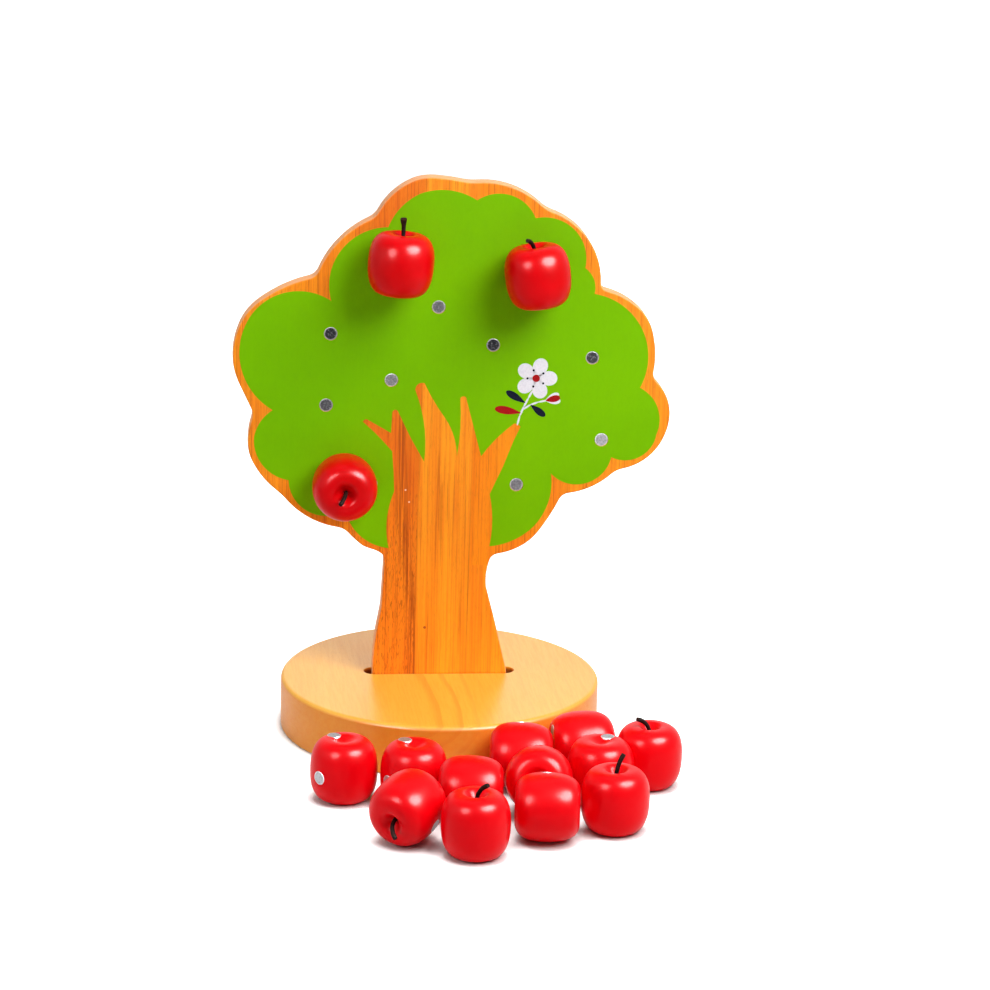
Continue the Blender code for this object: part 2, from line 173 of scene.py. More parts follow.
def ramp(tree, value, low, high):
    """Where a value lies between low and high, as 0 to 1, with soft ends."""
    made = add_node(tree, "ShaderNodeMapRange", {"Value": value, "From Min": low, "From Max": high},
                    interpolation_type="SMOOTHSTEP")
    return made.outputs["Result"]


def noise(tree, vector, scale, detail, roughness, stretch=(1, 1, 1)):
    """A noise with a grain of 1 / scale metres, longer along an axis stretched below 1."""
    place = add_node(tree, "ShaderNodeMapping", {"Vector": vector, "Scale": stretch})
    made = add_node(tree, "ShaderNodeTexNoise",
                    {"Vector": place.outputs[0], "Scale": scale, "Detail": detail,
                     "Roughness": roughness})
    return made.outputs["Fac"]


# %% Groups and materials
FLOAT, COLOUR, VECTOR = "NodeSocketFloat", "NodeSocketColor", "NodeSocketVector"


def new_group(name, takes, gives):
    """A node group with inputs (name, kind, value) and outputs (name, kind), and its ends."""
    group = bpy.data.node_groups.new(name, "ShaderNodeTree")
    for label, kind, value in takes:
        socket = group.interface.new_socket(label, in_out="INPUT", socket_type=kind)
        if value is not None:
            socket.default_value = value
    for label, kind in gives:
        group.interface.new_socket(label, in_out="OUTPUT", socket_type=kind)
    start = group.nodes.new("NodeGroupInput")
    end = group.nodes.new("NodeGroupOutput")
    return group, start.outputs, end


def use_group(tree, group, sockets):
    """The outputs of a group that is placed in a tree with its sockets filled."""
    return add_node(tree, "ShaderNodeGroup", sockets, node_tree=group).outputs


def new_material(name):
    """A material with its tree and its Principled shader."""
    material = bpy.data.materials.new(name)
    material.use_nodes = True
    return material, material.node_tree, material.node_tree.nodes["Principled BSDF"]


def object_place(tree):
    """The place of a point in its piece's own coordinates."""
    return tree.nodes.new("ShaderNodeTexCoord").outputs["Object"]


def face_normal(tree):
    """The direction that a face points in."""
    return tree.nodes.new("ShaderNodeTexCoord").outputs["Normal"]


def facing(tree, axis):
    """1 where a face points along the axis, and 0 where it points across it."""
    return reckon(tree, "ABSOLUTE", axes_of(tree, face_normal(tree))[axis])


def add_bump(tree, shader, height, depth, strength):
    """Dents the shading by height, a value from 0 to 1 that stands for depth metres."""
    bump = add_node(tree, "ShaderNodeBump",
                    {"Height": height, "Distance": depth, "Strength": strength})
    tree.links.new(bump.outputs[0], shader.inputs["Normal"])


# %% [markdown]
# ## The studio
#
# The toy stands on a white table between soft lamps. Where a round lacquered thing mirrors
# a lamp says where the lamp is: the apples' brighter highlight comes from a lamp to the
# right, in front and above, and the fainter one from a smaller lamp on the left. Each side
# has a large panel that lights the toy, and a smaller and stronger glow that only shows in
# reflections, as the hot middle of a softbox does. A lamp overhead lights the table and the
# base, and a low one behind keeps the back of the toy from going dark. The world gives a
# weak fill, and shows as white to the camera and in reflections.

# %% Lamps
light_target = Vector((0.0, -0.02, 0.13))
right_lamp = Vector((0.44, -0.50, 0.80))
right_highlight = Vector((0.46, -0.48, 0.66))
left_lamp = Vector((-0.80, -0.20, 0.40))
left_highlight = Vector((-0.50, -0.62, 0.55))
top_lamp = Vector((-0.05, 0.05, 1.40))
back_lamp = Vector((0.20, 1.30, 0.45))


def add_panel(name, place, width, height, level, diffuse=True):
    """A softbox, or a round glow. Its level is what it gives a white sheet that faces it."""
    reach = light_target - place
    data = bpy.data.lights.new(name, "AREA")
    data.shape = "RECTANGLE" if diffuse else "ELLIPSE"
    data.size = width
    data.size_y = height
    data.energy = level * math.pi**2 * reach.length_squared
    lamp = new_object(name, data)
    aim = reach.to_track_quat("-Z", "Y").to_matrix().to_4x4()
    lamp.matrix_world = Matrix.Translation(place) @ aim
    lamp.visible_diffuse = diffuse
    lamp.visible_glossy = not diffuse
    lamp.visible_camera = False


add_panel("right_softbox", right_lamp, 0.55, 0.55, 1.12)
add_panel("left_softbox", left_lamp, 0.50, 0.50, 0.36)
add_panel("top_softbox", top_lamp, 0.90, 0.90, 0.30)
add_panel("back_softbox", back_lamp, 0.70, 0.70, 0.45)
add_panel("right_glow", right_highlight, 0.62, 0.46, 9.0, diffuse=False)
add_panel("left_glow", left_highlight, 0.38, 0.38, 2.0, diffuse=False)

# %% World
fill_level = 0.09


def add_world():
    world = bpy.data.worlds.new("studio")
    bpy.context.scene.world = world
    world.use_nodes = True
    tree = world.node_tree
    tree.nodes.clear()
    path = tree.nodes.new("ShaderNodeLightPath").outputs
    seen = reckon(tree, "ADD", path["Is Camera Ray"], path["Is Glossy Ray"])
    seen = reckon(tree, "ADD", seen, path["Is Transmission Ray"], clamp=True)
    fill = add_node(tree, "ShaderNodeBackground", {"Color": (1, 1, 1, 1), "Strength": fill_level})
    white = add_node(tree, "ShaderNodeBackground", {"Color": (1, 1, 1, 1), "Strength": 1.0})
    both = add_node(tree, "ShaderNodeMixShader", {0: seen, 1: fill.outputs[0], 2: white.outputs[0]})
    end = tree.nodes.new("ShaderNodeOutputWorld")
    tree.links.new(both.outputs[0], end.inputs["Surface"])


add_world()
bpy.context.scene.view_settings.view_transform = "Standard"
print("fill from the world:", fill_level)

# %% [markdown]
# ## A white table
#
# A photographer bleaches the background by lighting it apart from the subject. Here the
# table glows for the camera, and less in reflections, where its own light is nearly enough.
# An Ambient Occlusion node tells how much a point is shut in by what stands beside it. Where
# it is shut in the glow fades out, so each piece keeps the dark shadow it stands on.

# %% The table
floor_reach = 12.0
floor_colour = paint(208, 206, 206)
mirrored_share = 0.35
shadow_reach = 0.012
shut_in = 0.45
in_the_open = 0.74


def add_floor():
    shape = bmesh.new()
    bmesh.ops.create_grid(shape, x_segments=1, y_segments=1, size=floor_reach)
    mesh = bpy.data.meshes.new("table_top")
    shape.to_mesh(mesh)
    shape.free()
    floor = new_object("table_top", mesh)
    material, tree, shader = new_material("white_table")
    fill_sockets(tree, shader, {"Base Color": floor_colour, "Roughness": 0.7,
                                "Specular IOR Level": 0.1})
    path = tree.nodes.new("ShaderNodeLightPath").outputs
    seen = reckon(tree, "ADD", path["Is Glossy Ray"], path["Is Transmission Ray"], clamp=True)
    seen = reckon(tree, "MULTIPLY_ADD", seen, mirrored_share, path["Is Camera Ray"])
    open_sky = add_node(tree, "ShaderNodeAmbientOcclusion", {"Distance": shadow_reach},
                        samples=8).outputs["AO"]
    lift = times(tree, seen, ramp(tree, open_sky, shut_in, in_the_open))
    glow = add_node(tree, "ShaderNodeEmission", {"Color": (1, 1, 1, 1), "Strength": lift})
    both = add_node(tree, "ShaderNodeAddShader", {0: shader.outputs[0], 1: glow.outputs[0]})
    tree.links.new(both.outputs[0], tree.nodes["Material Output"].inputs["Surface"])
    mesh.materials.append(material)


add_floor()
print("the table is", 2 * floor_reach, "m wide")

# %% [markdown]
# ## Wood as a block, not as wallpaper
#
# The base and the tree are sawn from solid wood, so the grain runs through the block and
# shows on every face: long lines on a side, arcs on an end. The group works in the block's
# own coordinates, with Z along the grain. Growth rings are the distance from the heart of
# the trunk, bent by a slow noise. Fibres, dark lines and pores are noises squeezed until
# they are fine across the grain and long along it.

# %% The sawn wood group
ring_crest = 0.93
pore_softness = 0.07


def make_sawn_wood():
    group, start, end = new_group(
        "sawn_wood",
        (
            ("Vector", VECTOR, None),
            ("Ring Width", FLOAT, 0.004),
            ("Ring Bend", FLOAT, 0.004),
            ("Pore Level", FLOAT, 0.62),
        ),
        [(mask, FLOAT) for mask in ("Rings", "Streaks", "Fibres", "Lines", "Pores")],
    )
    place = start["Vector"]
    axes = axes_of(group, place)
    square = reckon(group, "ADD", times(group, axes["X"], axes["X"]),
                    times(group, axes["Y"], axes["Y"]))
    bend = reckon(group, "SUBTRACT", noise(group, place, 22, 3.0, 0.45, (1, 1, 0.28)), 0.5)
    reach = reckon(group, "MULTIPLY_ADD", bend, start["Ring Bend"],
                   reckon(group, "SQRT", square))
    ring = reckon(group, "FRACT", reckon(group, "DIVIDE", reach, start["Ring Width"]))
    rising = ramp(group, ring, 0.25, ring_crest)
    falling = ramp(group, ring, 1.0, ring_crest)
    pores = add_node(group, "ShaderNodeMapRange", {
        "Value": noise(group, place, 3100, 1.0, 0.4, (1, 1, 0.10)),
        "From Min": start["Pore Level"],
        "From Max": reckon(group, "ADD", start["Pore Level"], pore_softness),
    })
    fill_sockets(group, end, {
        "Rings": times(group, rising, falling),
        "Streaks": noise(group, place, 75, 4.0, 0.55, (1, 1, 0.045)),
        "Fibres": noise(group, place, 900, 3.0, 0.7, (1, 1, 0.010)),
        "Lines": ramp(group, noise(group, place, 980, 2.0, 0.5, (1, 1, 0.016)), 0.58, 0.66),
        "Pores": pores.outputs[0],
    })
    return group


sawn_wood = make_sawn_wood()
print("wood masks:", [socket.name for socket in sawn_wood.interface.items_tree
                      if socket.in_out == "OUTPUT"])

# %% [markdown]
# ## Rubbed edges
#
# Sanding rounds every edge and leaves it a little paler, because the finish lies thinner
# there. On a rounded edge the surface points neither along the piece's axis nor square to
# it, so a mask can be read from the normal alone.

# %% The rubbed edge group
def make_rubbed_edge():
    group, start, end = new_group(
        "rubbed_edge",
        (("Normal", VECTOR, None), ("Axis", VECTOR, (0, 0, 1))),
        (("Mask", FLOAT),),
    )
    cosine = measure(group, "DOT_PRODUCT", start["Normal"], start["Axis"])
    along = reckon(group, "ABSOLUTE", cosine)
    across = reckon(group, "SQRT", reckon(group, "SUBTRACT", 1.0, times(group, along, along)))
    larger = reckon(group, "MAXIMUM", along, across)
    fill_sockets(group, end, {"Mask": ramp(group, larger, 0.99, 0.75)})
    return group


rubbed_edge = make_rubbed_edge()


def edge_mask(tree, axis):
    """1 on the rounded edges of a piece that stands along the axis, and 0 elsewhere."""
    return use_group(tree, rubbed_edge, {"Normal": face_normal(tree), "Axis": axis})["Mask"]


# %% [markdown]
# ## The base's finish
#
# The round base is a pale honey-coloured wood under a clear gloss lacquer. Its grain runs
# from front to back, so the front of its edge is end grain. Seen at a low angle the lacquer
# mirrors the white studio and looks much paler, except where it mirrors the trunk. That
# comes for free from the coat, so the wood itself is painted in its own deeper colour.

# %% Lacquered pale wood
grain_place = (0.0208, 0.047, 0.0)
grain_turn = (math.radians(87), math.radians(1.5), 0.0)
heart_line = -0.004
slot_shade_top = 0.0270
slot_shade_foot = 0.0255
slot_shade_radius = 0.055


def make_pale_wood():
    material, tree, shader = new_material("lacquered_pale_wood")
    place = object_place(tree)
    axes = axes_of(tree, place)
    turned = add_node(tree, "ShaderNodeMapping",
                      {"Vector": place, "Location": grain_place, "Rotation": grain_turn})
    wood = use_group(tree, sawn_wood, {"Vector": turned.outputs[0], "Ring Width": 0.0075,
                                       "Ring Bend": 0.012, "Pore Level": 0.60})
    colour = mixed(tree, wood["Streaks"], paint(244, 174, 50), paint(254, 190, 66))
    off_heart = reckon(tree, "ABSOLUTE", reckon(tree, "SUBTRACT", axes["X"], heart_line))
    ring_strength = reckon(tree, "MULTIPLY_ADD", ramp(tree, off_heart, 0.026, 0.008), 0.42, 0.06)
    colour = tinted(tree, colour, ramp(tree, wood["Rings"], 0.45, 1.0), ring_strength,
                    paint(224, 126, 24))
    fibre = ramp(tree, wood["Fibres"], 0.42, 0.62)
    colour = tinted(tree, colour, fibre, 0.16, paint(228, 140, 36))
    colour = tinted(tree, colour, wood["Pores"], 0.14, paint(176, 96, 30))
    mottle = reckon(tree, "MULTIPLY_ADD", noise(tree, place, 420, 3.0, 0.6), 0.5, 0.45)
    upright = times(tree, ramp(tree, facing(tree, "Z"), 0.8, 0.2), mottle)
    colour = mixed(tree, upright, colour, paint(240, 136, 34))
    edge = edge_mask(tree, (0, 0, 1))
    colour = tinted(tree, colour, edge, 0.3, paint(252, 196, 110))
    # Painted shade: the slot's walls are darkened below its mouth.
    near_slot = reckon(tree, "LESS_THAN", measure(tree, "LENGTH", place), slot_shade_radius)
    painted_slot_shade = times(tree, ramp(tree, axes["Z"], slot_shade_top, slot_shade_foot), near_slot)
    colour = tinted(tree, colour, painted_slot_shade, 0.75, paint(104, 40, 8))
    worn = reckon(tree, "MAXIMUM", times(tree, upright, 0.55), times(tree, edge, 1.2))
    fill_sockets(tree, shader, {
        "Base Color": colour,
        "Roughness": reckon(tree, "MULTIPLY_ADD", fibre, 0.1, 0.35),
        "Specular IOR Level": 0.1,
        "Coat Weight": reckon(tree, "SUBTRACT", 0.82, reckon(tree, "MINIMUM", worn, 0.76)),
        "Coat Roughness": 0.28,
        "Coat IOR": 1.5,
    })
    height = reckon(tree, "SUBTRACT", times(tree, wood["Fibres"], 0.5), wood["Pores"])
    add_bump(tree, shader, height, 0.00003, 0.4)
    return material


pale_wood = make_pale_wood()

# %% [markdown]
# ## The tree's finish
#
# The tree is cut from a panel of upright staves glued edge to edge. Each stave comes from
# another part of the log, so each has its own tone and its own stretch of grain. One group
# counts which stave a point is in, moves the grain to a place of its own for that stave,
# and mixes the colour. The third stave is a dark one, with the heart of the log as a dark
# line. Low on the right of the trunk another piece is joined on, so the count jumps there.
# The bare wood and the print on it both use the group: the print only takes the height,
# because a thin print still follows the grain under it.

# %% The glued staves group
stave_edges = (-0.0848, -0.0492, -0.0127, 0.0151, 0.0497, 0.0835)
stave_offset = 0.0016
stave_lean = 0.010
stave_shift = (0.0713, 0.1371, 0.4177)
dark_stave_count = 2.0
joined_above_count = 3.5
joint_height = 0.0882
joint_shift = 3.37
heart_offset = 0.0222
heart_drift = -0.0085
wood_specks = (
    ((-0.0199, 0.00075, 0.1298), 0.0006, paint(255, 214, 170)),
    ((-0.0179, 0.00075, 0.1232), 0.0006, paint(255, 214, 170)),
    ((-0.0085, 0.00075, 0.0534), 0.0009, paint(170, 78, 20)),
)


def make_glued_staves():
    group, start, end = new_group(
        "glued_staves",
        (("Vector", VECTOR, None),),
        (("Color", COLOUR), ("Height", FLOAT), ("Pores", FLOAT)),
    )
    place = start["Vector"]
    axes = axes_of(group, place)
    up = axes["Z"]
    low_down = ramp(group, up, 0.150, 0.085)
    across = reckon(group, "MULTIPLY_ADD", up, -stave_lean, axes["X"])
    across = reckon(group, "ADD", across, stave_offset)
    count = 0.0
    glue = 0.0
    for edge in stave_edges:
        count = reckon(group, "ADD", reckon(group, "GREATER_THAN", across, edge), count)
        gap = reckon(group, "ABSOLUTE", reckon(group, "SUBTRACT", across, edge))
        glue = reckon(group, "MAXIMUM", ramp(group, gap, 0.0005, 0.0001), glue)
    below_joint = times(group, reckon(group, "GREATER_THAN", count, joined_above_count),
                        reckon(group, "LESS_THAN", up, joint_height))
    count = reckon(group, "MULTIPLY_ADD", below_joint, joint_shift, count)
    shift = add_node(group, "ShaderNodeCombineXYZ",
                     {axis: times(group, count, stave_shift[axis]) for axis in range(3)})
    grain = add_node(group, "ShaderNodeVectorMath", {0: place, 1: shift.outputs[0]},
                     operation="ADD")
    wood = use_group(group, sawn_wood, {"Vector": grain.outputs[0], "Ring Width": 0.0062,
                                        "Ring Bend": 0.010, "Pore Level": 0.58})
    tone = add_node(group, "ShaderNodeTexWhiteNoise", {"W": count}, noise_dimensions="1D")
    colour = mixed(group, tone.outputs["Value"], paint(250, 148, 14), paint(255, 164, 30))
    dark_stave = reckon(group, "COMPARE", count, dark_stave_count, 0.1)
    off_centre = reckon(group, "ADD", reckon(group, "ADD", across, heart_offset),
                        times(group, ramp(group, up, 0.135, 0.040), heart_drift))
    heart = ramp(group, reckon(group, "ABSOLUTE", off_centre), 0.0050, 0.0003)
    broken = ramp(group, noise(group, place, 1000, 2.0, 0.6, (1, 1, 0.02)), 0.40, 0.60)
    heart = times(group, times(group, heart, broken), ramp(group, up, 0.205, 0.160))
    depth = reckon(group, "MULTIPLY_ADD", dark_stave, times(group, low_down, 0.42), 0.14)
    pores = times(group, wood["Pores"], depth)
    for mask, strength, tint in (
        (dark_stave, reckon(group, "MULTIPLY_ADD", low_down, -0.25, 0.60), paint(216, 92, 4)),
        (ramp(group, wood["Streaks"], 0.42, 0.66), 0.34, paint(236, 110, 6)),
        (wood["Rings"], 0.16, paint(214, 90, 6)),
        (ramp(group, wood["Fibres"], 0.44, 0.60), 0.42, paint(226, 102, 6)),
        (wood["Lines"], 0.46, paint(186, 74, 4)),
        (heart, 0.7, paint(150, 54, 2)),
        (pores, 1.0, paint(136, 56, 4)),
        (glue, times(group, low_down, 0.4), paint(150, 62, 8)),
    ):
        colour = tinted(group, colour, mask, strength, tint)
    for spot, radius, tint in wood_specks:
        gap = measure(group, "DISTANCE", place, spot)
        colour = mixed(group, ramp(group, gap, radius, radius * 0.6), colour, tint)
    height = reckon(group, "MULTIPLY_ADD", wood["Fibres"], 0.5, times(group, pores, -1.0))
    fill_sockets(group, end, {"Color": colour, "Height": height, "Pores": pores})
    return group


glued_staves = make_glued_staves()
print("staves across the tree:", len(stave_edges) + 1)

# %% Oiled warm wood
def make_warm_wood():
    material, tree, shader = new_material("oiled_warm_wood")
    wood = use_group(tree, glued_staves, {"Vector": object_place(tree)})
    # The sawn sides are painted paler than the faces: paler sawn wood with its pores, and a painted
    # sheen for the light that the sides catch.
    sawn_side_sheen = ramp(tree, facing(tree, "Y"), 0.97, 0.5)
    sawn_grain_and_sheen = mixed(tree, wood["Pores"], paint(238, 178, 126), paint(190, 120, 64))
    fill_sockets(tree, shader, {
        "Base Color": tinted(tree, wood["Color"], sawn_side_sheen, 0.74, sawn_grain_and_sheen),
        "Roughness": reckon(tree, "MULTIPLY_ADD", wood["Height"], 0.18, 0.40),
        "Specular IOR Level": 0.08,
    })
    add_bump(tree, shader, wood["Height"], 0.00005, 0.5)
    return material


warm_wood = make_warm_wood()

# %% [markdown]
# ## The print's finish
#
# The crown is screen-printed in a flat yellow-green. A hand-printed layer is never quite
# even: it is a touch thinner on the ridges of the grain, and broad areas differ slightly.

# %% Printed green
def make_printed_green():
    material, tree, shader = new_material("printed_green")
    place = object_place(tree)
    wood = use_group(tree, glued_staves, {"Vector": place})
    broad = noise(tree, place, 14, 2.0, 0.5)
    speckle = noise(tree, place, 900, 2.0, 0.6, (1, 1, 0.5))
    colour = mixed(tree, ramp(tree, broad, 0.3, 0.7), paint(113, 183, 0), paint(120, 190, 0))
    colour = tinted(tree, colour, ramp(tree, speckle, 0.35, 0.8), 0.10, paint(92, 160, 0))
    thin = ramp(tree, wood["Height"], 0.22, 0.36)
    fill_sockets(tree, shader, {
        "Base Color": tinted(tree, colour, thin, 0.05, paint(140, 206, 10)),
        "Roughness": reckon(tree, "MULTIPLY_ADD", speckle, 0.14, 0.42),
        "Specular IOR Level": 0.015,
    })
    add_bump(tree, shader, wood["Height"], 0.00004, 0.4)
    return material


printed_green = make_printed_green()

# %% [markdown]
# ## Flat prints in other colours
#
# The small sprig on the crown is printed in white, dark red and navy. The three inks share
# one recipe and differ only in colour.

# %% Inks
def make_ink(name, light, deep):
    material, tree, shader = new_material(name)
    speckle = noise(tree, object_place(tree), 1100, 2.0, 0.6)
    fill_sockets(tree, shader, {
        "Base Color": mixed(tree, ramp(tree, speckle, 0.35, 0.7), light, deep),
        "Roughness": reckon(tree, "MULTIPLY_ADD", speckle, 0.12, 0.36),
        "Specular IOR Level": 0.06,
    })
    add_bump(tree, shader, speckle, 0.00002, 0.4)
    return material


white_ink = make_ink("white_ink", paint(230, 231, 238), paint(220, 221, 229))
dark_red_ink = make_ink("dark_red_ink", paint(170, 8, 14), paint(150, 4, 10))
navy_ink = make_ink("navy_ink", paint(10, 16, 44), paint(4, 8, 30))

# %% [markdown]
# ## Red lacquer, dark stems and plated metal
#
# The apples are dipped in a bright red lacquer. Over turned wood it is never quite as
# smooth as plastic: a slight orange-peel breaks up the edges of the highlights. Its clear
# coat is made weaker where the surface is seen at a slant, or the green print behind the
# hung apples would tint their outlines. Below a height between the hung and the loose
# apples the red is painted brighter: painted light, because the loose apples lie farther
# from the lamps and would look darker than the hung ones.

# %% Red lacquer
hung_above = 0.09
hung_fade = 0.02


def make_red_lacquer():
    material, tree, shader = new_material("red_lacquer")
    place = object_place(tree)
    broad = noise(tree, place, 60, 2.0, 0.5)
    peel = noise(tree, place, 700, 3.0, 0.6)
    colour = mixed(tree, ramp(tree, broad, 0.3, 0.7), paint(206, 0, 4), paint(218, 0, 10))
    # Painted light: the low, loose apples get a brighter red to make up for the light they lack.
    painted_light_below = ramp(tree, axes_of(tree, place)["Z"], hung_above, hung_above - hung_fade)
    turned_away = add_node(tree, "ShaderNodeLayerWeight", {"Blend": 0.5}).outputs["Facing"]
    turned_away = ramp(tree, turned_away, 0.35, 0.95)
    fill_sockets(tree, shader, {
        "Base Color": mixed(tree, painted_light_below, colour, paint(238, 0, 14)),
        "Roughness": reckon(tree, "MULTIPLY_ADD", peel, 0.12, 0.24),
        "Specular IOR Level": 0.10,
        "Specular Tint": paint(255, 60, 70),
        "Coat Weight": reckon(tree, "MULTIPLY_ADD", turned_away, -0.16, 0.25),
        "Coat Roughness": 0.25,
        "Coat IOR": 1.35,
    })
    add_bump(tree, shader, peel, 0.00016, 0.5)
    return material


red_lacquer = make_red_lacquer()

# %% Dark stem
def make_dark_stem():
    material, tree, shader = new_material("dark_stem")
    knots = noise(tree, object_place(tree), 700, 3.0, 0.6)
    fill_sockets(tree, shader, {
        "Base Color": mixed(tree, ramp(tree, knots, 0.35, 0.7), paint(16, 5, 3),
                            paint(52, 24, 18)),
        "Roughness": reckon(tree, "MULTIPLY_ADD", knots, 0.3, 0.40),
        "Specular IOR Level": 0.05,
    })
    add_bump(tree, shader, knots, 0.0003, 0.8)
    return material


dark_stem = make_dark_stem()

# %% Plated metal
def make_plated_metal():
    material, tree, shader = new_material("nickel_plate")
    tone = add_node(tree, "ShaderNodeAttribute", attribute_name="tone",
                    attribute_type="GEOMETRY").outputs["Fac"]
    mottle = noise(tree, object_place(tree), 1100, 3.0, 0.65)
    colour = mixed(tree, tone, paint(16, 14, 20), paint(232, 232, 238))
    colour = tinted(tree, colour, ramp(tree, mottle, 0.52, 0.66), 0.12, paint(226, 228, 232))
    colour = tinted(tree, colour, ramp(tree, mottle, 0.48, 0.34), 0.45, paint(20, 18, 26))
    fill_sockets(tree, shader, {
        "Base Color": colour,
        "Metallic": 1.0,
        "Roughness": reckon(tree, "MULTIPLY_ADD", mottle, 0.3, 0.25),
    })
    add_bump(tree, shader, mottle, 0.00006, 0.6)
    return material


plated_metal = make_plated_metal()
print("finishes:", [material.name for material in bpy.data.materials if material.users == 0])

# %% [markdown]
# ## Turning and cutting
#
# Most of the pieces are turned: half of the outline is drawn once and spun round the axis,
# as a lathe would. Pockets are cut with Boolean cutters. A finished piece keeps its place
# in its mesh and its object at the origin, as the CAD nodes do.

# %% Helpers for shapes
hair = 1e-6


def turn_on_lathe(profile, steps):
    """Spins a profile of (radius, height) round Z into a closed shape."""
    shape = bmesh.new()
    points = [shape.verts.new((across, 0.0, up)) for across, up in profile]
    line = [shape.edges.new(pair) for pair in zip(points, points[1:])]
    bmesh.ops.spin(shape, geom=points + line, cent=(0, 0, 0), axis=(0, 0, 1), dvec=(0, 0, 0),
                   angle=math.tau, steps=steps, use_merge=True)
    bmesh.ops.remove_doubles(shape, verts=shape.verts, dist=hair)
    bmesh.ops.recalc_face_normals(shape, faces=shape.faces)
    return shape


def arc(across, up, radius, first, last, steps):
    """Points on an arc about (across, up), from the angle first to last, in degrees."""
    points = []
    for step in range(steps + 1):
        angle = math.radians(first + (last - first) * step / steps)
        points.append((across + radius * math.cos(angle), up + radius * math.sin(angle)))
    return points


def to_object(shape, name, material=None):
    """Writes a bmesh to a new object and frees it."""
    mesh = bpy.data.meshes.new(name)
    shape.to_mesh(mesh)
    shape.free()
    if material:
        mesh.materials.append(material)
    return new_object(name, mesh)


def settled(source):
    """The mesh of an object with its modifiers or curve settings applied, in its place."""
    bpy.context.view_layer.update()
    graph = bpy.context.evaluated_depsgraph_get()
    mesh = bpy.data.meshes.new_from_object(source.evaluated_get(graph))
    mesh.transform(source.matrix_world)
    return mesh


def curve_shape(curve, matrix=Matrix.Identity(4)):
    """A curve as a bmesh in the place that the matrix gives, with its doubles merged."""
    drawn = new_object(curve.name, curve)
    drawn.matrix_world = matrix
    mesh = settled(drawn)
    bpy.data.objects.remove(drawn)
    shape = bmesh.new()
    shape.from_mesh(mesh)
    bmesh.ops.remove_doubles(shape, verts=shape.verts, dist=hair)
    return shape


def carve(target, cutter):
    """Cuts the cutter out of the target for good, and throws the cutter away."""
    cut = target.modifiers.new("cut", "BOOLEAN")
    cut.operation = "DIFFERENCE"
    cut.solver = "EXACT"
    cut.object = cutter
    mesh = settled(target)
    target.modifiers.clear()
    target.data = mesh
    bpy.data.objects.remove(cutter)


# %% Helpers for finished pieces
square_on = 0.9999


def shade(piece, axis=None, angle=35):
    """Smooth shading with sharp edges kept. Faces square to the axis stay flat."""
    mesh = piece.data
    mesh.shade_smooth()
    mesh.set_sharp_from_angle(angle=math.radians(angle))
    if axis:
        for face in mesh.polygons:
            if abs(face.normal.dot(Vector(axis))) > square_on:
                face.use_smooth = False


def install(piece, body, slot, *nodes):
    """The piece rides on its body and stands for its CAD nodes; its slot is not used."""
    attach(piece, body)
    if nodes:
        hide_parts(*nodes)


def report(piece):
    size = [round(side * 1000, 1) for side in piece.dimensions]
    print(piece.name, "measures", size, "mm, with", len(piece.data.polygons), "faces")


# %% [markdown]
# ## The base
#
# A flat disc 170 mm across with a generous round on its upper edge, turned on a lathe. The
# slot that holds the tree is routed across it. A router leaves round ends, and the mouth is
# eased so that it doesn't splinter, so the cutter widens at the top in a quarter round.

# %% Turn the base
base_radius = 0.085
base_thickness = 0.0275
base_top_round = 0.0025
base_foot_round = 0.0012
lathe_steps = 160

base_profile = [(0.0, 0.0)]
base_profile += arc(base_radius - base_foot_round, base_foot_round, base_foot_round, -90, 0, 5)
base_profile += arc(base_radius - base_top_round, base_thickness - base_top_round,
                    base_top_round, 0, 90, 8)
base_profile.append((0.0, base_thickness))
base = to_object(turn_on_lathe(base_profile, lathe_steps), "turned_base", pale_wood)

# %% Rout the slot
board_thickness = 0.0105
trunk_foot_width = 0.0724
slot_depth = 0.016
slot_setback = 0.006
slot_side_clearance = 0.0004
slot_end_clearance = 0.0042
slot_radius = board_thickness / 2 + slot_side_clearance
slot_reach = trunk_foot_width / 2 + slot_end_clearance - slot_radius
mouth_round = 0.0005
mouth_steps = 5
round_sides = 48
overrun = 0.002


def widen(ring, by):
    """Moves a ring of vertices outwards from the slot's middle line."""
    for vert in ring:
        nearest = Vector((max(-slot_reach, min(slot_reach, vert.co.x)), 0.0, vert.co.z))
        vert.co += (vert.co - nearest).normalized() * by


def make_slot_cutter():
    shape = bmesh.new()
    ring = bmesh.ops.create_circle(shape, cap_ends=True, segments=round_sides,
                                   radius=slot_radius)["verts"]
    for vert in ring:
        vert.co.x += math.copysign(slot_reach, vert.co.x + hair)
    top = shape.faces[:]
    rises = [(slot_depth - mouth_round, 0.0)]
    for step in range(mouth_steps):
        before, after = (math.pi / 2 * share / mouth_steps for share in (step, step + 1))
        rises.append((mouth_round * (math.sin(after) - math.sin(before)),
                      mouth_round * (math.cos(before) - math.cos(after))))
    rises.append((overrun, 0.0))
    for step, (rise, spread) in enumerate(rises):
        grown = bmesh.ops.extrude_face_region(shape, geom=top)["geom"]
        if step:
            bmesh.ops.delete(shape, geom=top, context="FACES_ONLY")
        top = [item for item in grown if isinstance(item, bmesh.types.BMFace)]
        ring = [item for item in grown if isinstance(item, bmesh.types.BMVert)]
        bmesh.ops.translate(shape, verts=ring, vec=(0, 0, rise))
        widen(ring, spread)
    bmesh.ops.translate(shape, verts=shape.verts,
                        vec=(0, slot_setback, base_thickness - slot_depth))
    bmesh.ops.recalc_face_normals(shape, faces=shape.faces)
    return to_object(shape, "slot_cutter")


carve(base, make_slot_cutter())
shade(base, (0, 0, 1))
install(base, "base", "lacquered_pale_wood", "base")
report(base)

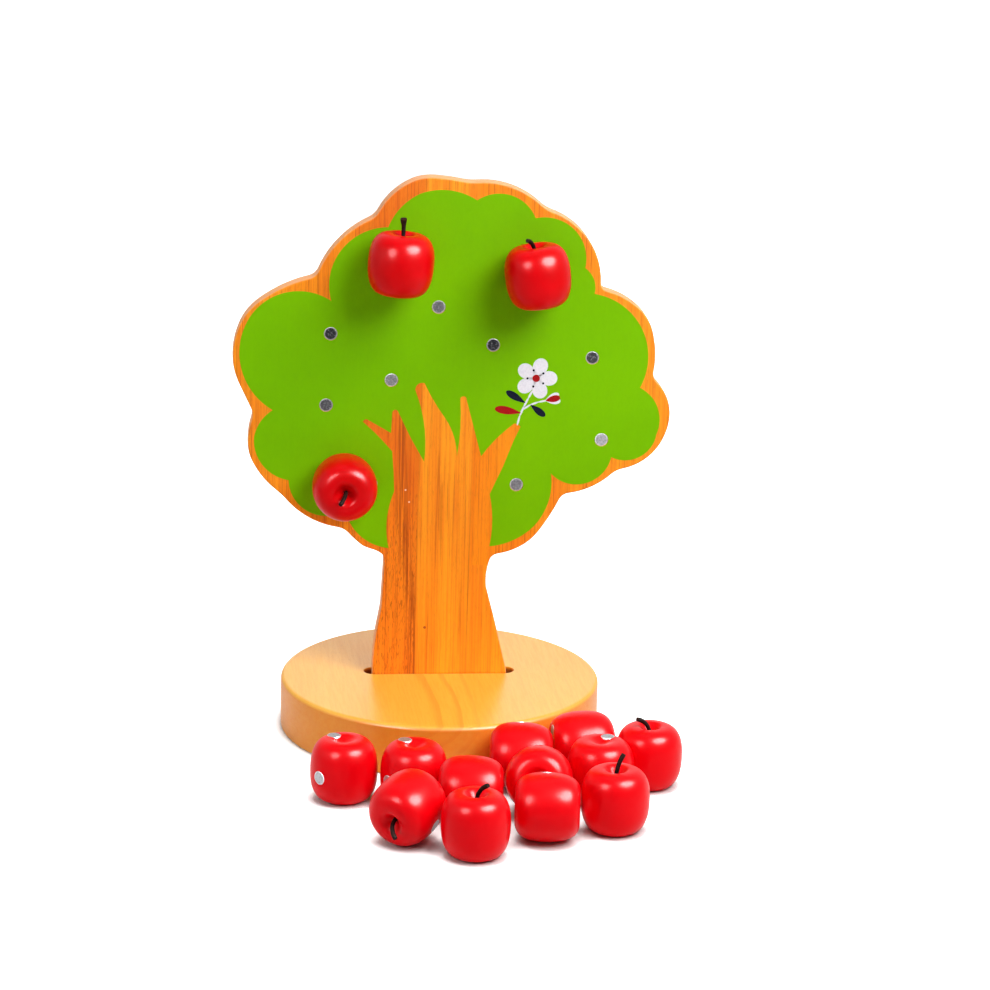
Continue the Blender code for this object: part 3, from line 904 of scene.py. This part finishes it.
# %% [markdown]
# ## The tree's outline
#
# The crown is a ring of shallow arcs. Each row gives a corner, across in shares of the
# crown's width and up in shares of the tree's height, and how far the arc to the next
# corner rises over half its chord. Where two arcs meet in a hollow, the saw leaves a small
# round valley, so the corner is blended. A blunt corner that swells outwards is blended
# over a longer stretch, and a sharp one is kept.

# %% Outline tables
tree_height = 0.2695
crown_width = 0.2297
valley_reach = 0.0035
foot_side_rise = 0.06

trunk_left = (
    (-0.140, 0.131, -0.01),
    (-0.134, 0.232, 0.00),
)
crown_edge = (
    (-0.136, 0.246, -0.18),
    (-0.175, 0.260, 0.07),
    (-0.227, 0.302, 0.22),
    (-0.371, 0.372, 0.16),
    (-0.447, 0.456, 0.13),
    (-0.435, 0.534, 0.03),
    (-0.480, 0.618, 0.21),
    (-0.447, 0.739, 0.14),
    (-0.296, 0.804, 0.22),
    (-0.163, 0.921, 0.24),
    (-0.054, 0.999, 0.06),
    (0.051, 0.988, 0.25),
    (0.222, 0.937, 0.37),
    (0.350, 0.782, 0.20),
    (0.463, 0.723, 0.16),
    (0.476, 0.605, 0.33),
    (0.514, 0.501, 0.32),
    (0.400, 0.420, 0.20),
    (0.276, 0.371, 0.07),
    (0.212, 0.282, 0.18),
)
trunk_right = (
    (0.117, 0.247, -0.20),
    (0.114, 0.148, 0.02),
)
print_lobes = (
    (-0.124, 0.261, 0.32),
    (-0.224, 0.337, 0.57),
    (-0.355, 0.400, 0.39),
    (-0.434, 0.487, 0.21),
    (-0.392, 0.541, 0.42),
    (-0.444, 0.726, 0.42),
    (-0.261, 0.757, 0.50),
    (-0.135, 0.902, 0.19),
    (-0.065, 0.967, 0.24),
    (0.064, 0.955, 0.48),
    (0.197, 0.921, 0.54),
    (0.313, 0.824, 0.31),
    (0.336, 0.773, 0.51),
    (0.448, 0.586, 0.39),
    (0.490, 0.492, 0.52),
    (0.387, 0.446, 0.62),
    (0.248, 0.413, 0.23),
    (0.211, 0.304, 0.18),
)
branches = (
    (0.110, 0.264, -0.10),
    (0.108, 0.371, -0.03),
    (0.161, 0.481, 0.00),
    (0.175, 0.507, -0.30),
    (0.160, 0.514, -0.08),
    (0.086, 0.448, 0.00),
    (0.050, 0.562, -0.90),
    (0.035, 0.564, 0.06),
    (0.030, 0.448, -0.14),
    (0.004, 0.522, 0.05),
    (-0.047, 0.595, -0.55),
    (-0.068, 0.581, 0.12),
    (-0.045, 0.437, 0.03),
    (-0.107, 0.539, -0.70),
    (-0.120, 0.536, 0.00),
    (-0.122, 0.495, 0.00),
    (-0.176, 0.522, -0.40),
    (-0.187, 0.518, 0.04),
    (-0.119, 0.458, 0.02),
    (-0.113, 0.377, -0.15),
)

# %% Drawing the arcs
arc_step = math.radians(4)
blend_steps = 8
slight_turn = math.sin(math.radians(4))
sharp_turn = math.sin(math.radians(50))
swell_factor = 3.0


def tree_point(share):
    """A place on the tree's face: x across, y up."""
    return Vector((share[0] * crown_width, base_thickness + share[1] * tree_height))


def run_points(start, end, rise, skip_start, skip_end):
    """Points along a straight or curved run, less the lengths skipped at its ends."""
    if rise == 0:
        length = (end - start).length
        return [start.lerp(end, share) for share in (skip_start / length, 1 - skip_end / length)]
    chord = end - start
    half_angle = 2 * math.atan(rise)
    radius = chord.length / (2 * math.sin(half_angle))
    left = Vector((-chord.y, chord.x)).normalized()
    centre = (start + end) / 2 - left * (radius * math.cos(half_angle))
    spoke = start - centre
    first, sweep = math.atan2(spoke.y, spoke.x), -2 * half_angle
    radius = abs(radius)
    length = radius * abs(sweep)
    low, high = skip_start / length, 1 - skip_end / length
    count = max(1, math.ceil((high - low) * abs(sweep) / arc_step))
    points = []
    for step in range(count + 1):
        angle = first + sweep * (low + (high - low) * step / count)
        points.append(centre + radius * Vector((math.cos(angle), math.sin(angle))))
    return points


def end_direction(start, end, rise, at_end):
    """The run's direction of travel at its start or its end."""
    turn = 2 * math.atan(rise)
    heading = math.atan2(end.y - start.y, end.x - start.x) + (-turn if at_end else turn)
    return Vector((math.cos(heading), math.sin(heading)))


def meeting_point(first, first_way, second, second_way):
    """Where two lines cross, or halfway between their points if that is far off."""
    halfway = (first + second) / 2
    gap = second - first
    cross = first_way.x * second_way.y - first_way.y * second_way.x
    if abs(cross) < hair:
        return halfway
    crossing = first + first_way * ((gap.x * second_way.y - gap.y * second_way.x) / cross)
    return crossing if (crossing - halfway).length < gap.length / 2 else halfway


def corner_reach(run, next_run, reach):
    """How far a corner's blend reaches: reach in a hollow, more where the outline swells."""
    before = end_direction(*run, True)
    after = end_direction(*next_run, False)
    turning = before.x * after.y - before.y * after.x
    if turning < -sharp_turn or abs(turning) < slight_turn:
        return 0.0
    if turning < 0:
        reach *= swell_factor
    return min(reach, (run[1] - run[0]).length / 3, (next_run[1] - next_run[0]).length / 3)


def closed_outline(corners, reach=0.0):
    """Points round the corners, clockwise, with soft bends in place of the blunt ones."""
    runs = []
    for index, (start, rise) in enumerate(corners):
        runs.append((start, corners[(index + 1) % len(corners)][0], rise))
    reaches = [corner_reach(runs[index - 1], run, reach) for index, run in enumerate(runs)]
    points = []
    for index, run in enumerate(runs):
        after = (index + 1) % len(runs)
        stretch = run_points(*run, reaches[index], reaches[after])
        points += stretch if reaches[index] else stretch[1:]
        if reaches[after]:
            points += blended_corner(stretch, runs[after], reaches[after])
    return points


def blended_corner(stretch, next_run, reach):
    """The points of the smooth bend between the stretch's end and the next run."""
    onward = run_points(*next_run, reach, 0.0)
    start = stretch[-1]
    end = onward[0]
    before = (start - stretch[-2]).normalized()
    after = (onward[1] - end).normalized()
    middle = meeting_point(start, before, end, after)
    points = []
    for step in range(1, blend_steps):
        share = step / blend_steps
        points.append(start.lerp(middle, share).lerp(middle.lerp(end, share), share))
    return points


# %% [markdown]
# ## The tree board
#
# A flat filled curve with a bevel is the quickest way to a sawn shape with sanded edges:
# the outline is drawn once, and the curve gives it thickness and a rounded edge. It is made
# a mesh, stood up, and drilled for the discs.

# %% Saw the tree
clearance = 0.0003
board_front = slot_setback - board_thickness / 2
board_foot = base_thickness - slot_depth + clearance
board_edge_round = 0.0008
edge_steps = 4


def flat_sheet(name, outlines, front, thickness, edge_round, material):
    """An upright sheet whose outlines lie in XZ and whose front is at y = front."""
    curve = bpy.data.curves.new(name, "CURVE")
    curve.dimensions = "2D"
    curve.fill_mode = "BOTH"
    curve.extrude = thickness / 2 - edge_round
    curve.bevel_depth = edge_round
    curve.bevel_resolution = edge_steps if edge_round else 0
    curve.offset = -edge_round
    for outline in outlines:
        spline = curve.splines.new("POLY")
        spline.points.add(len(outline) - 1)
        for point, place in zip(spline.points, outline):
            point.co = (place.x, place.y, 0.0, 1.0)
        spline.use_cyclic_u = True
    stand = Matrix.Rotation(math.pi / 2, 4, "X")
    middle = Matrix.Translation((0, front + thickness / 2, 0))
    return to_object(curve_shape(curve, middle @ stand), name, material)


def tree_outline():
    """The board's outline, clockwise from the left of its foot."""
    half_foot = trunk_foot_width / 2
    corners = [
        (Vector((-half_foot, board_foot)), 0.0),
        (Vector((-half_foot, base_thickness)), foot_side_rise),
    ]
    for share in trunk_left + crown_edge + trunk_right:
        corners.append((tree_point(share), share[2]))
    corners.append((Vector((half_foot, base_thickness)), 0.0))
    corners.append((Vector((half_foot, board_foot)), 0.0))
    return closed_outline(corners, valley_reach)


board = flat_sheet("sawn_tree", [tree_outline()], board_front, board_thickness,
                   board_edge_round, warm_wood)

# %% Drill the tree
disc_radius = 0.0035
disc_thickness = 0.003
disc_recess = 0.0003
disc_fit = 0.0001
pocket_radius = disc_radius + disc_fit
pocket_depth = disc_recess + disc_thickness + clearance

disc_places = [
    tree_point(share) for share in (
        (-0.262, 0.693), (-0.018, 0.746), (0.108, 0.671), (0.336, 0.646),
        (-0.123, 0.601), (-0.271, 0.551), (0.363, 0.481), (0.169, 0.390),
        (-0.110, 0.847), (0.197, 0.825), (-0.230, 0.431),
    )
]


def round_bar(shape, radius, length, matrix):
    """A cylinder from its local z = 0 up to its length."""
    middle = matrix @ Matrix.Translation((0, 0, length / 2))
    bmesh.ops.create_cone(shape, cap_ends=True, segments=round_sides, radius1=radius,
                          radius2=radius, depth=length, matrix=middle)


into_board = Matrix.Rotation(-math.pi / 2, 4, "X")
drills = bmesh.new()
for place in disc_places:
    start = Matrix.Translation((place.x, board_front - overrun, place.y)) @ into_board
    round_bar(drills, pocket_radius, pocket_depth + overrun, start)
carve(board, to_object(drills, "drills"))
shade(board, (0, 1, 0))
install(board, "tree", "oiled_warm_wood", "tree_board")
report(board)

# %% [markdown]
# ## The printed crown
#
# The print is a coat of ink, so it is a film less than a tenth of a millimetre thick with
# crisp edges, left open round each disc. It is sunk a little into the board, so that no two
# faces lie in one plane.

# %% Print the crown
film_thickness = 0.00008
film_sink = 0.00002
film_front = board_front - film_thickness


def circle(centre, radius):
    """Points round a circle, anticlockwise."""
    points = []
    for step in range(round_sides):
        angle = math.tau * step / round_sides
        points.append(centre + radius * Vector((math.cos(angle), math.sin(angle))))
    return points


print_corners = [(tree_point(share), share[2]) for share in print_lobes + branches]
crown_print = flat_sheet(
    "crown_print",
    [closed_outline(print_corners)] + [circle(place, pocket_radius) for place in disc_places],
    film_front, film_thickness + film_sink, 0.0, printed_green,
)
shade(crown_print, (0, 1, 0))
install(crown_print, "tree", "printed_green", "printed_crown")
report(crown_print)

# %% [markdown]
# ## The metal discs
#
# The discs are stamped from plated steel: a flat face, an edge rounded by tumbling, and a
# dull, mottled plating. They don't all catch the light alike, so each carries a tone of its
# own, a number from 0 for dark to 1 for bright, stored on its vertices for the shader.

# %% Set the discs
disc_edge_round = 0.0003
rim_width = 0.0003
rim_painted_highlight = 0.40


def stamp_disc(name, matrix, tone):
    """A disc with rounded edges and a painted highlight on its rim, from its face at local z = 0
    upwards.
    """
    shape = bmesh.new()
    round_bar(shape, disc_radius, disc_thickness, matrix)
    rims = [edge for edge in shape.edges
            if any(len(face.verts) > 4 for face in edge.link_faces)]
    bmesh.ops.bevel(shape, geom=rims, offset=disc_edge_round, segments=4, profile=0.5,
                    affect="EDGES", material=-1)
    flats = [face for face in shape.faces if len(face.verts) > 4]
    bmesh.ops.inset_region(shape, faces=flats, thickness=rim_width, use_even_offset=True)
    disc = to_object(shape, name, plated_metal)
    marks = disc.data.attributes.new("tone", "FLOAT", "POINT")
    to_local = matrix.inverted()
    for mark, vert in zip(marks.data, disc.data.vertices):
        off_axis = (to_local @ vert.co).xy.length
        # Painted highlight: the rim's vertices get a brighter tone, as if the rounded edge caught
        # the light.
        on_rim = off_axis > disc_radius - disc_edge_round - rim_width / 2
        mark.value = tone + (rim_painted_highlight if on_rim else 0.0)
    shade(disc, angle=40)
    return disc


disc_tones = (0.01, 0.10, 0.01, 0.03, 0.14, 0.05, 0.26, 0.13, 0.1, 0.1, 0.1)
for number, (place, tone) in enumerate(zip(disc_places, disc_tones), 1):
    seat = Matrix.Translation((place.x, board_front + disc_recess, place.y)) @ into_board
    disc = stamp_disc(f"board_disc_{number:02d}", seat, tone)
    install(disc, "tree", "nickel_plate", f"tree_disc_{number:02d}")
print("discs set:", len(disc_places))

# %% [markdown]
# ## A sprig of blossom
#
# The print's one ornament is a small sprig that grows from the tip of the right-hand
# branch: a white stalk, a dark red leaf and two navy ones, a white five-petalled blossom
# and a bud. Each flat shape starts as a disc of vertices that is stretched and pinched, and
# each layer of ink lies a hair's breadth in front of the one before.

# %% Petals, stalks and dots
ink_layer = 0.00002
stroke_overlap = 0.6


def petal(shape, place, heading, length, width, pinch, layer, ink):
    """A petal or leaf from its root at place, along heading in degrees from upright."""
    ring = bmesh.ops.create_circle(shape, cap_ends=True, segments=40, radius=0.5)["verts"]
    faces = {face for vert in ring for face in vert.link_faces}
    for vert in ring:
        along = vert.co.y + 0.5
        vert.co.x *= width * (1 - pinch * (1 - along) ** 2)
        vert.co.y = along * length
        vert.co.z = 0.0
    grown = bmesh.ops.extrude_face_region(shape, geom=list(faces))["geom"]
    raised = [item for item in grown if isinstance(item, bmesh.types.BMVert)]
    front = film_thickness + ink_layer * layer
    bmesh.ops.translate(shape, verts=ring, vec=(0, 0, film_thickness / 2))
    bmesh.ops.translate(shape, verts=raised, vec=(0, 0, front))
    everything = list(set(ring) | set(raised))
    turn = Matrix.Rotation(math.radians(-heading), 4, "Z")
    stand = Matrix.Rotation(math.pi / 2, 4, "X")
    seat = Matrix.Translation((place[0], board_front, place[1])) @ stand @ turn
    bmesh.ops.transform(shape, verts=everything, matrix=seat)
    for face in {face for vert in everything for face in vert.link_faces}:
        face.material_index = ink


def stalk(shape, places, width, layer, ink):
    """A thin line through places, made of rounded strokes."""
    for start, end in zip(places, places[1:]):
        run = Vector(end) - Vector(start)
        heading = math.degrees(math.atan2(run.x, run.y))
        petal(shape, start, heading, run.length + width * stroke_overlap, width, 0.0, layer, ink)


def dot(shape, middle, size, layer, ink):
    """A round dot about its middle."""
    petal(shape, (middle[0], middle[1] - size / 2), 0, size, size, 0.0, layer, ink)


# %% Print the sprig
WHITE, RED, NAVY = range(3)
long_stalk_width = 0.0011
long_stalk = ((0.0384, 0.1650), (0.0396, 0.1700), (0.0416, 0.1750), (0.0438, 0.1795),
              (0.0459, 0.1835))
bud_stalk_width = 0.0010
bud_stalk = ((0.0410, 0.1735), (0.0447, 0.1760), (0.0490, 0.1776), (0.0537, 0.1786))
leaf_pinch = 0.75
leaves = (
    ((0.0402, 0.1718), -80, 0.0140, 0.0050, RED),
    ((0.0424, 0.1772), -58, 0.0120, 0.0044, NAVY),
    ((0.0452, 0.1762), 128, 0.0100, 0.0042, NAVY),
)
blossom = (0.0478, 0.1905)
blossom_petals = 5
blossom_turn = 18
petal_turn = 360 / blossom_petals
petal_length = 0.0112
petal_width = 0.0088
petal_pinch = 0.55
eye_size = 0.0040
spot_size = 0.0012
spot_ring_radius = 0.0046
bud = (0.0532, 0.1785)
bud_length = 0.0078
bud_width = 0.0040
bud_pinch = 0.6

sprig = bmesh.new()
stalk(sprig, long_stalk, long_stalk_width, 1, WHITE)
stalk(sprig, bud_stalk, bud_stalk_width, 1, WHITE)
for root, heading, length, width, ink in leaves:
    petal(sprig, root, heading, length, width, leaf_pinch, 2, ink)
for number in range(blossom_petals):
    heading = blossom_turn + petal_turn * number
    petal(sprig, blossom, heading, petal_length, petal_width, petal_pinch, 2, WHITE)
dot(sprig, blossom, eye_size, 3, RED)
for number in range(blossom_petals):
    angle = math.radians(blossom_turn + petal_turn * (number + 0.5))
    spot = (blossom[0] + spot_ring_radius * math.sin(angle),
            blossom[1] + spot_ring_radius * math.cos(angle))
    dot(sprig, spot, spot_size, 3, NAVY)
for heading, layer, ink in ((62, 2, WHITE), (92, 2, WHITE), (77, 3, RED)):
    petal(sprig, bud, heading, bud_length, bud_width, bud_pinch, layer, ink)
bmesh.ops.recalc_face_normals(sprig, faces=sprig.faces)
sprig_print = to_object(sprig, "sprig_print", white_ink)
sprig_print.data.materials.append(dark_red_ink)
sprig_print.data.materials.append(navy_ink)
shade(sprig_print, (0, 1, 0))
install(sprig_print, "tree", "printed_green")
report(sprig_print)

# %% [markdown]
# ## One apple, turned once
#
# All fifteen apples come off the same lathe pattern: a squarish round body, a soft hollow
# with a hole for the stem, and a shallower hollow below. Both hollows follow half a cosine
# wave, which meets the shoulder without an edge. One disc magnet is let into the side and
# one into the rim of the foot.

# %% The apple's profile
apple_radius = 0.017
apple_height = 0.032
apple_middle = apple_height / 2
apple_widest = apple_height * 0.53
apple_power = 2 / 2.5
apple_rim_radius = 0.0070
top_dimple_depth = 0.0050
apple_foot_radius = 0.0075
base_dimple_depth = 0.0022
stem_radius = 0.0011
stem_fit = 0.0002
stem_hole_radius = stem_radius + stem_fit
stem_hole_depth = 0.004
side_steps = 20
dimple_steps = 12


def dimple(rim_radius, depth, inner_radius):
    """Radius and drop below the rim of a soft hollow, from its inner radius outwards."""
    points = []
    for step in range(dimple_steps):
        radius = inner_radius + (rim_radius - inner_radius) * step / dimple_steps
        points.append((radius, depth * (1 + math.cos(math.pi * radius / rim_radius)) / 2))
    return points


def body_quarter(inner_radius, height, side):
    """A quarter of the body's side, above or below its widest ring, top to bottom."""
    points = []
    for step in range(side_steps + 1):
        share = step / side_steps
        angle = math.pi / 2 * (1 - share if side > 0 else share)
        across = inner_radius + (apple_radius - inner_radius) * math.cos(angle) ** apple_power
        points.append((across, apple_widest + side * height * math.sin(angle) ** apple_power))
    return points


def apple_profile():
    """Radius and height from the stem hole, over the shoulder, to the lower hollow."""
    hole_floor = apple_height - top_dimple_depth - stem_hole_depth
    profile = [(0.0, hole_floor), (stem_hole_radius, hole_floor)]
    for radius, drop in dimple(apple_rim_radius, top_dimple_depth, stem_hole_radius):
        profile.append((radius, apple_height - drop))
    profile += body_quarter(apple_rim_radius, apple_height - apple_widest, 1)
    profile += body_quarter(apple_foot_radius, apple_widest, -1)[1:]
    profile += dimple(apple_foot_radius, base_dimple_depth, 0.0)[::-1]
    return profile


# %% Turn and drill the pattern apple
apple_steps = 96
base_magnet_sink = 0.00025
pattern = to_object(turn_on_lathe(apple_profile(), apple_steps), "apple_pattern", red_lacquer)
side_seat = Matrix.Translation((0, -apple_radius, apple_widest)) @ into_board
base_seat = Matrix.Translation((apple_foot_radius, 0, 0))
before_face = Matrix.Translation((0, 0, -overrun))
bits = bmesh.new()
round_bar(bits, pocket_radius, disc_thickness + disc_recess + overrun, side_seat @ before_face)
round_bar(bits, pocket_radius, disc_thickness + overrun, base_seat @ before_face)
carve(pattern, to_object(bits, "bits"))
pattern.data.transform(Matrix.Translation((0, 0, -apple_middle)))
report(pattern)

# %% [markdown]
# ## Stems
#
# Each stem is a soft dark twig set in the dimple. A curve with a thickness of its own at
# each point gives it a slim neck, and the first apple's stem flares where it was cut. Each
# lean gets its own bend. Some stems lie folded over in the dimple, as under an apple that
# stands on its head.

# %% Shape the stems
stem_tip_radius = 0.0016
stem_length = 0.013095
stem_fold = stem_radius * 1.3
bend_steps = 9
fold_steps = 6
neck_slimness = 0.05
flare_start = 0.7
tip_start = 0.98
tip_share = 0.82


def stem_points(lean):
    """The stem's centre line from its hole: straight, then bent over by the lean."""
    root = apple_height - top_dimple_depth - apple_middle
    foot = root - stem_hole_depth + clearance
    if lean is None:
        return folded_stem_points(foot)
    points = [Vector((0, 0, foot)), Vector((0, 0, root))]
    step_length = stem_length / (bend_steps + 1)
    for step in range(bend_steps + 1):
        angle = math.radians(lean) * min(1.0, (step + 0.5) / bend_steps)
        points.append(points[-1] + step_length * Vector((math.sin(angle), 0, math.cos(angle))))
    return points


def folded_stem_points(foot):
    """A stem that lies over inside its dimple, below the apple's rim."""
    rest = apple_height - apple_middle - stem_tip_radius - clearance
    points = [Vector((0, 0, foot))]
    for step in range(fold_steps + 1):
        angle = math.pi / 2 * step / fold_steps
        across = stem_fold * (1 - math.cos(angle))
        points.append(Vector((across, 0, rest - stem_fold + stem_fold * math.sin(angle))))
    points.append(Vector((stem_fold + stem_radius / 2, 0, rest)))
    return points


def stem_thickness(share, tip_radius):
    """The stem's radius along its length: a slim neck, then a flare that ends rounded."""
    neck = min(1.0, share / flare_start)
    flare = max(0.0, (share - flare_start) / (1 - flare_start))
    slim = stem_radius * (1.0 - neck_slimness * math.sin(math.pi * neck))
    full = slim + (tip_radius - slim) * flare**1.5
    return full * (1.0 if share < tip_start else tip_share)


def make_stem(lean, tip_radius):
    curve = bpy.data.curves.new("stem", "CURVE")
    curve.dimensions = "3D"
    curve.bevel_depth = stem_radius
    curve.bevel_resolution = 4
    curve.use_fill_caps = True
    curve.resolution_u = 3
    places = stem_points(lean)
    spline = curve.splines.new("NURBS")
    spline.points.add(len(places) - 1)
    for index, (point, place) in enumerate(zip(spline.points, places)):
        point.co = (*place, 1.0)
        point.radius = stem_thickness(index / (len(places) - 1), tip_radius) / stem_radius
    spline.use_endpoint_u = True
    spline.order_u = 3
    shape = curve_shape(curve)
    bmesh.ops.recalc_face_normals(shape, faces=shape.faces)
    return to_object(shape, "stem", dark_stem)


# %% [markdown]
# ## Where the apples are
#
# Three apples hang on the tree by a magnet, and twelve lie on the table. An apple's matrix
# turns the pattern's own axes, and its middle is moved to its place. The tables are the
# CAD model's own. A hung row gives the magnet that holds, the apple's lean, its stem's lean
# and turn, and the disc. A loose row gives the place across and in front of the base in
# apple widths, the tilt, heading and spin in degrees, and its stem's lean and turn.

# %% Seats for the apples
hang_gap = 0.0005
apple_width = 2 * apple_radius


def turn(axis, degrees):
    return Matrix.Rotation(math.radians(degrees), 4, axis)


def hung_seat(kind, lean, disc):
    """The place of an apple whose side or base magnet lies on a disc of the tree."""
    if kind == "side":
        rotation = turn("Y", lean) @ turn("Z", 180)
        magnet = Vector((0, -apple_radius, apple_widest - apple_middle))
    else:
        rotation = turn("X", 90) @ turn("Z", 90)
        magnet = Vector((apple_foot_radius, 0, -apple_middle))
    touch = Vector((disc.x, board_front - hang_gap, disc.y))
    return Matrix.Translation(touch - rotation.to_3x3() @ magnet) @ rotation


def reach_along(direction_cosine):
    """How far the body reaches from its middle against a direction at this cosine."""
    sine = math.sqrt(max(0.0, 1 - direction_cosine**2))
    reaches = []
    for radius, height in apple_profile():
        reaches.append(radius * sine - (height - apple_middle) * direction_cosine)
    return max(reaches)


def loose_seat(across, forwards, tilt, heading, spin):
    """The place of an apple that rests on the table in front of the base."""
    rotation = turn("Z", heading) @ turn("Y", tilt) @ turn("Z", spin)
    return Matrix.Translation((across * apple_width, -base_radius - forwards * apple_width,
                               reach_along(math.cos(math.radians(tilt))))) @ rotation


# %% Hang and lay the apples
hung_apples = (
    ("side", 4, 12, 60, disc_places[8]),
    ("side", -8, 70, 60, disc_places[9]),
    ("base", 0, 38, 135, disc_places[10]),
)
loose_apples = (
    (-1.659, 0.774, 180, 0, 50, None, 180),
    (-0.635, 1.003, 180, 0, 55, None, 0),
    (-0.825, 2.502, 104, 234, 157.5, 60, 260),
    (0.106, 3.047, 0, 0, 180, 60, 140),
    (0.145, 1.775, 90, 173, 67.5, None, 0),
    (1.016, 0.376, 90, 173, 292.5, None, 0),
    (1.176, 1.454, 72, 260, 90, None, 0),
    (1.186, 2.500, 90, 173, 292.5, None, 0),
    (1.985, -0.095, 90, 7, 180, None, 90),
    (2.144, 0.953, 180, 0, 122, None, 90),
    (2.212, 2.153, 0, 0, 180, 30, 190),
    (2.952, 0.350, 0, 0, 180, 70, 20),
)

apple_seats = []
for kind, side_lean, lean, stem_spin, disc in hung_apples:
    apple_seats.append((hung_seat(kind, side_lean, disc), lean, stem_spin))
for across, forwards, tilt, heading, spin, lean, stem_spin in loose_apples:
    apple_seats.append((loose_seat(across, forwards, tilt, heading, spin), lean, stem_spin))
print("apples hung and laid:", len(apple_seats))

# %% Put the apples together
flared_tip = 0.0021
plain_tip = 0.0013
side_magnet_tone = 0.52
base_magnet_tone = 0.40
flared_lean = apple_seats[0][1]
stem_patterns = {}
for lean in sorted({lean for _, lean, _ in apple_seats}, key=str):
    stem_patterns[lean] = make_stem(lean, flared_tip if lean == flared_lean else plain_tip)
side_magnet_seat = (Matrix.Translation((0, 0, -apple_middle)) @ side_seat
                    @ Matrix.Translation((0, 0, disc_recess / 2)))
base_magnet_seat = Matrix.Translation((apple_foot_radius, 0, base_magnet_sink - apple_middle))


def copy_of(source, name, matrix):
    """A copy of a pattern piece with its place in its mesh."""
    mesh = source.data.copy()
    mesh.name = name
    mesh.transform(matrix)
    return new_object(name, mesh)


for number, (seat, lean, stem_spin) in enumerate(apple_seats, 1):
    label = f"apple_{number:02d}"
    flesh = copy_of(pattern, f"turned_apple_{number:02d}", seat)
    shade(flesh)
    install(flesh, label, "red_lacquer", label + "_body")
    twig = copy_of(stem_patterns[lean], f"stem_{number:02d}", seat @ turn("Z", stem_spin))
    shade(twig, angle=50)
    install(twig, label, "dark_stem", label + "_stem")
    side = stamp_disc(f"side_magnet_{number:02d}", seat @ side_magnet_seat, side_magnet_tone)
    install(side, label, "nickel_plate", label + "_side_magnet")
    foot = stamp_disc(f"base_magnet_{number:02d}", seat @ base_magnet_seat, base_magnet_tone)
    install(foot, label, "nickel_plate")
for source in [pattern, *stem_patterns.values()]:
    bpy.data.objects.remove(source)
print("apples:", len(apple_seats))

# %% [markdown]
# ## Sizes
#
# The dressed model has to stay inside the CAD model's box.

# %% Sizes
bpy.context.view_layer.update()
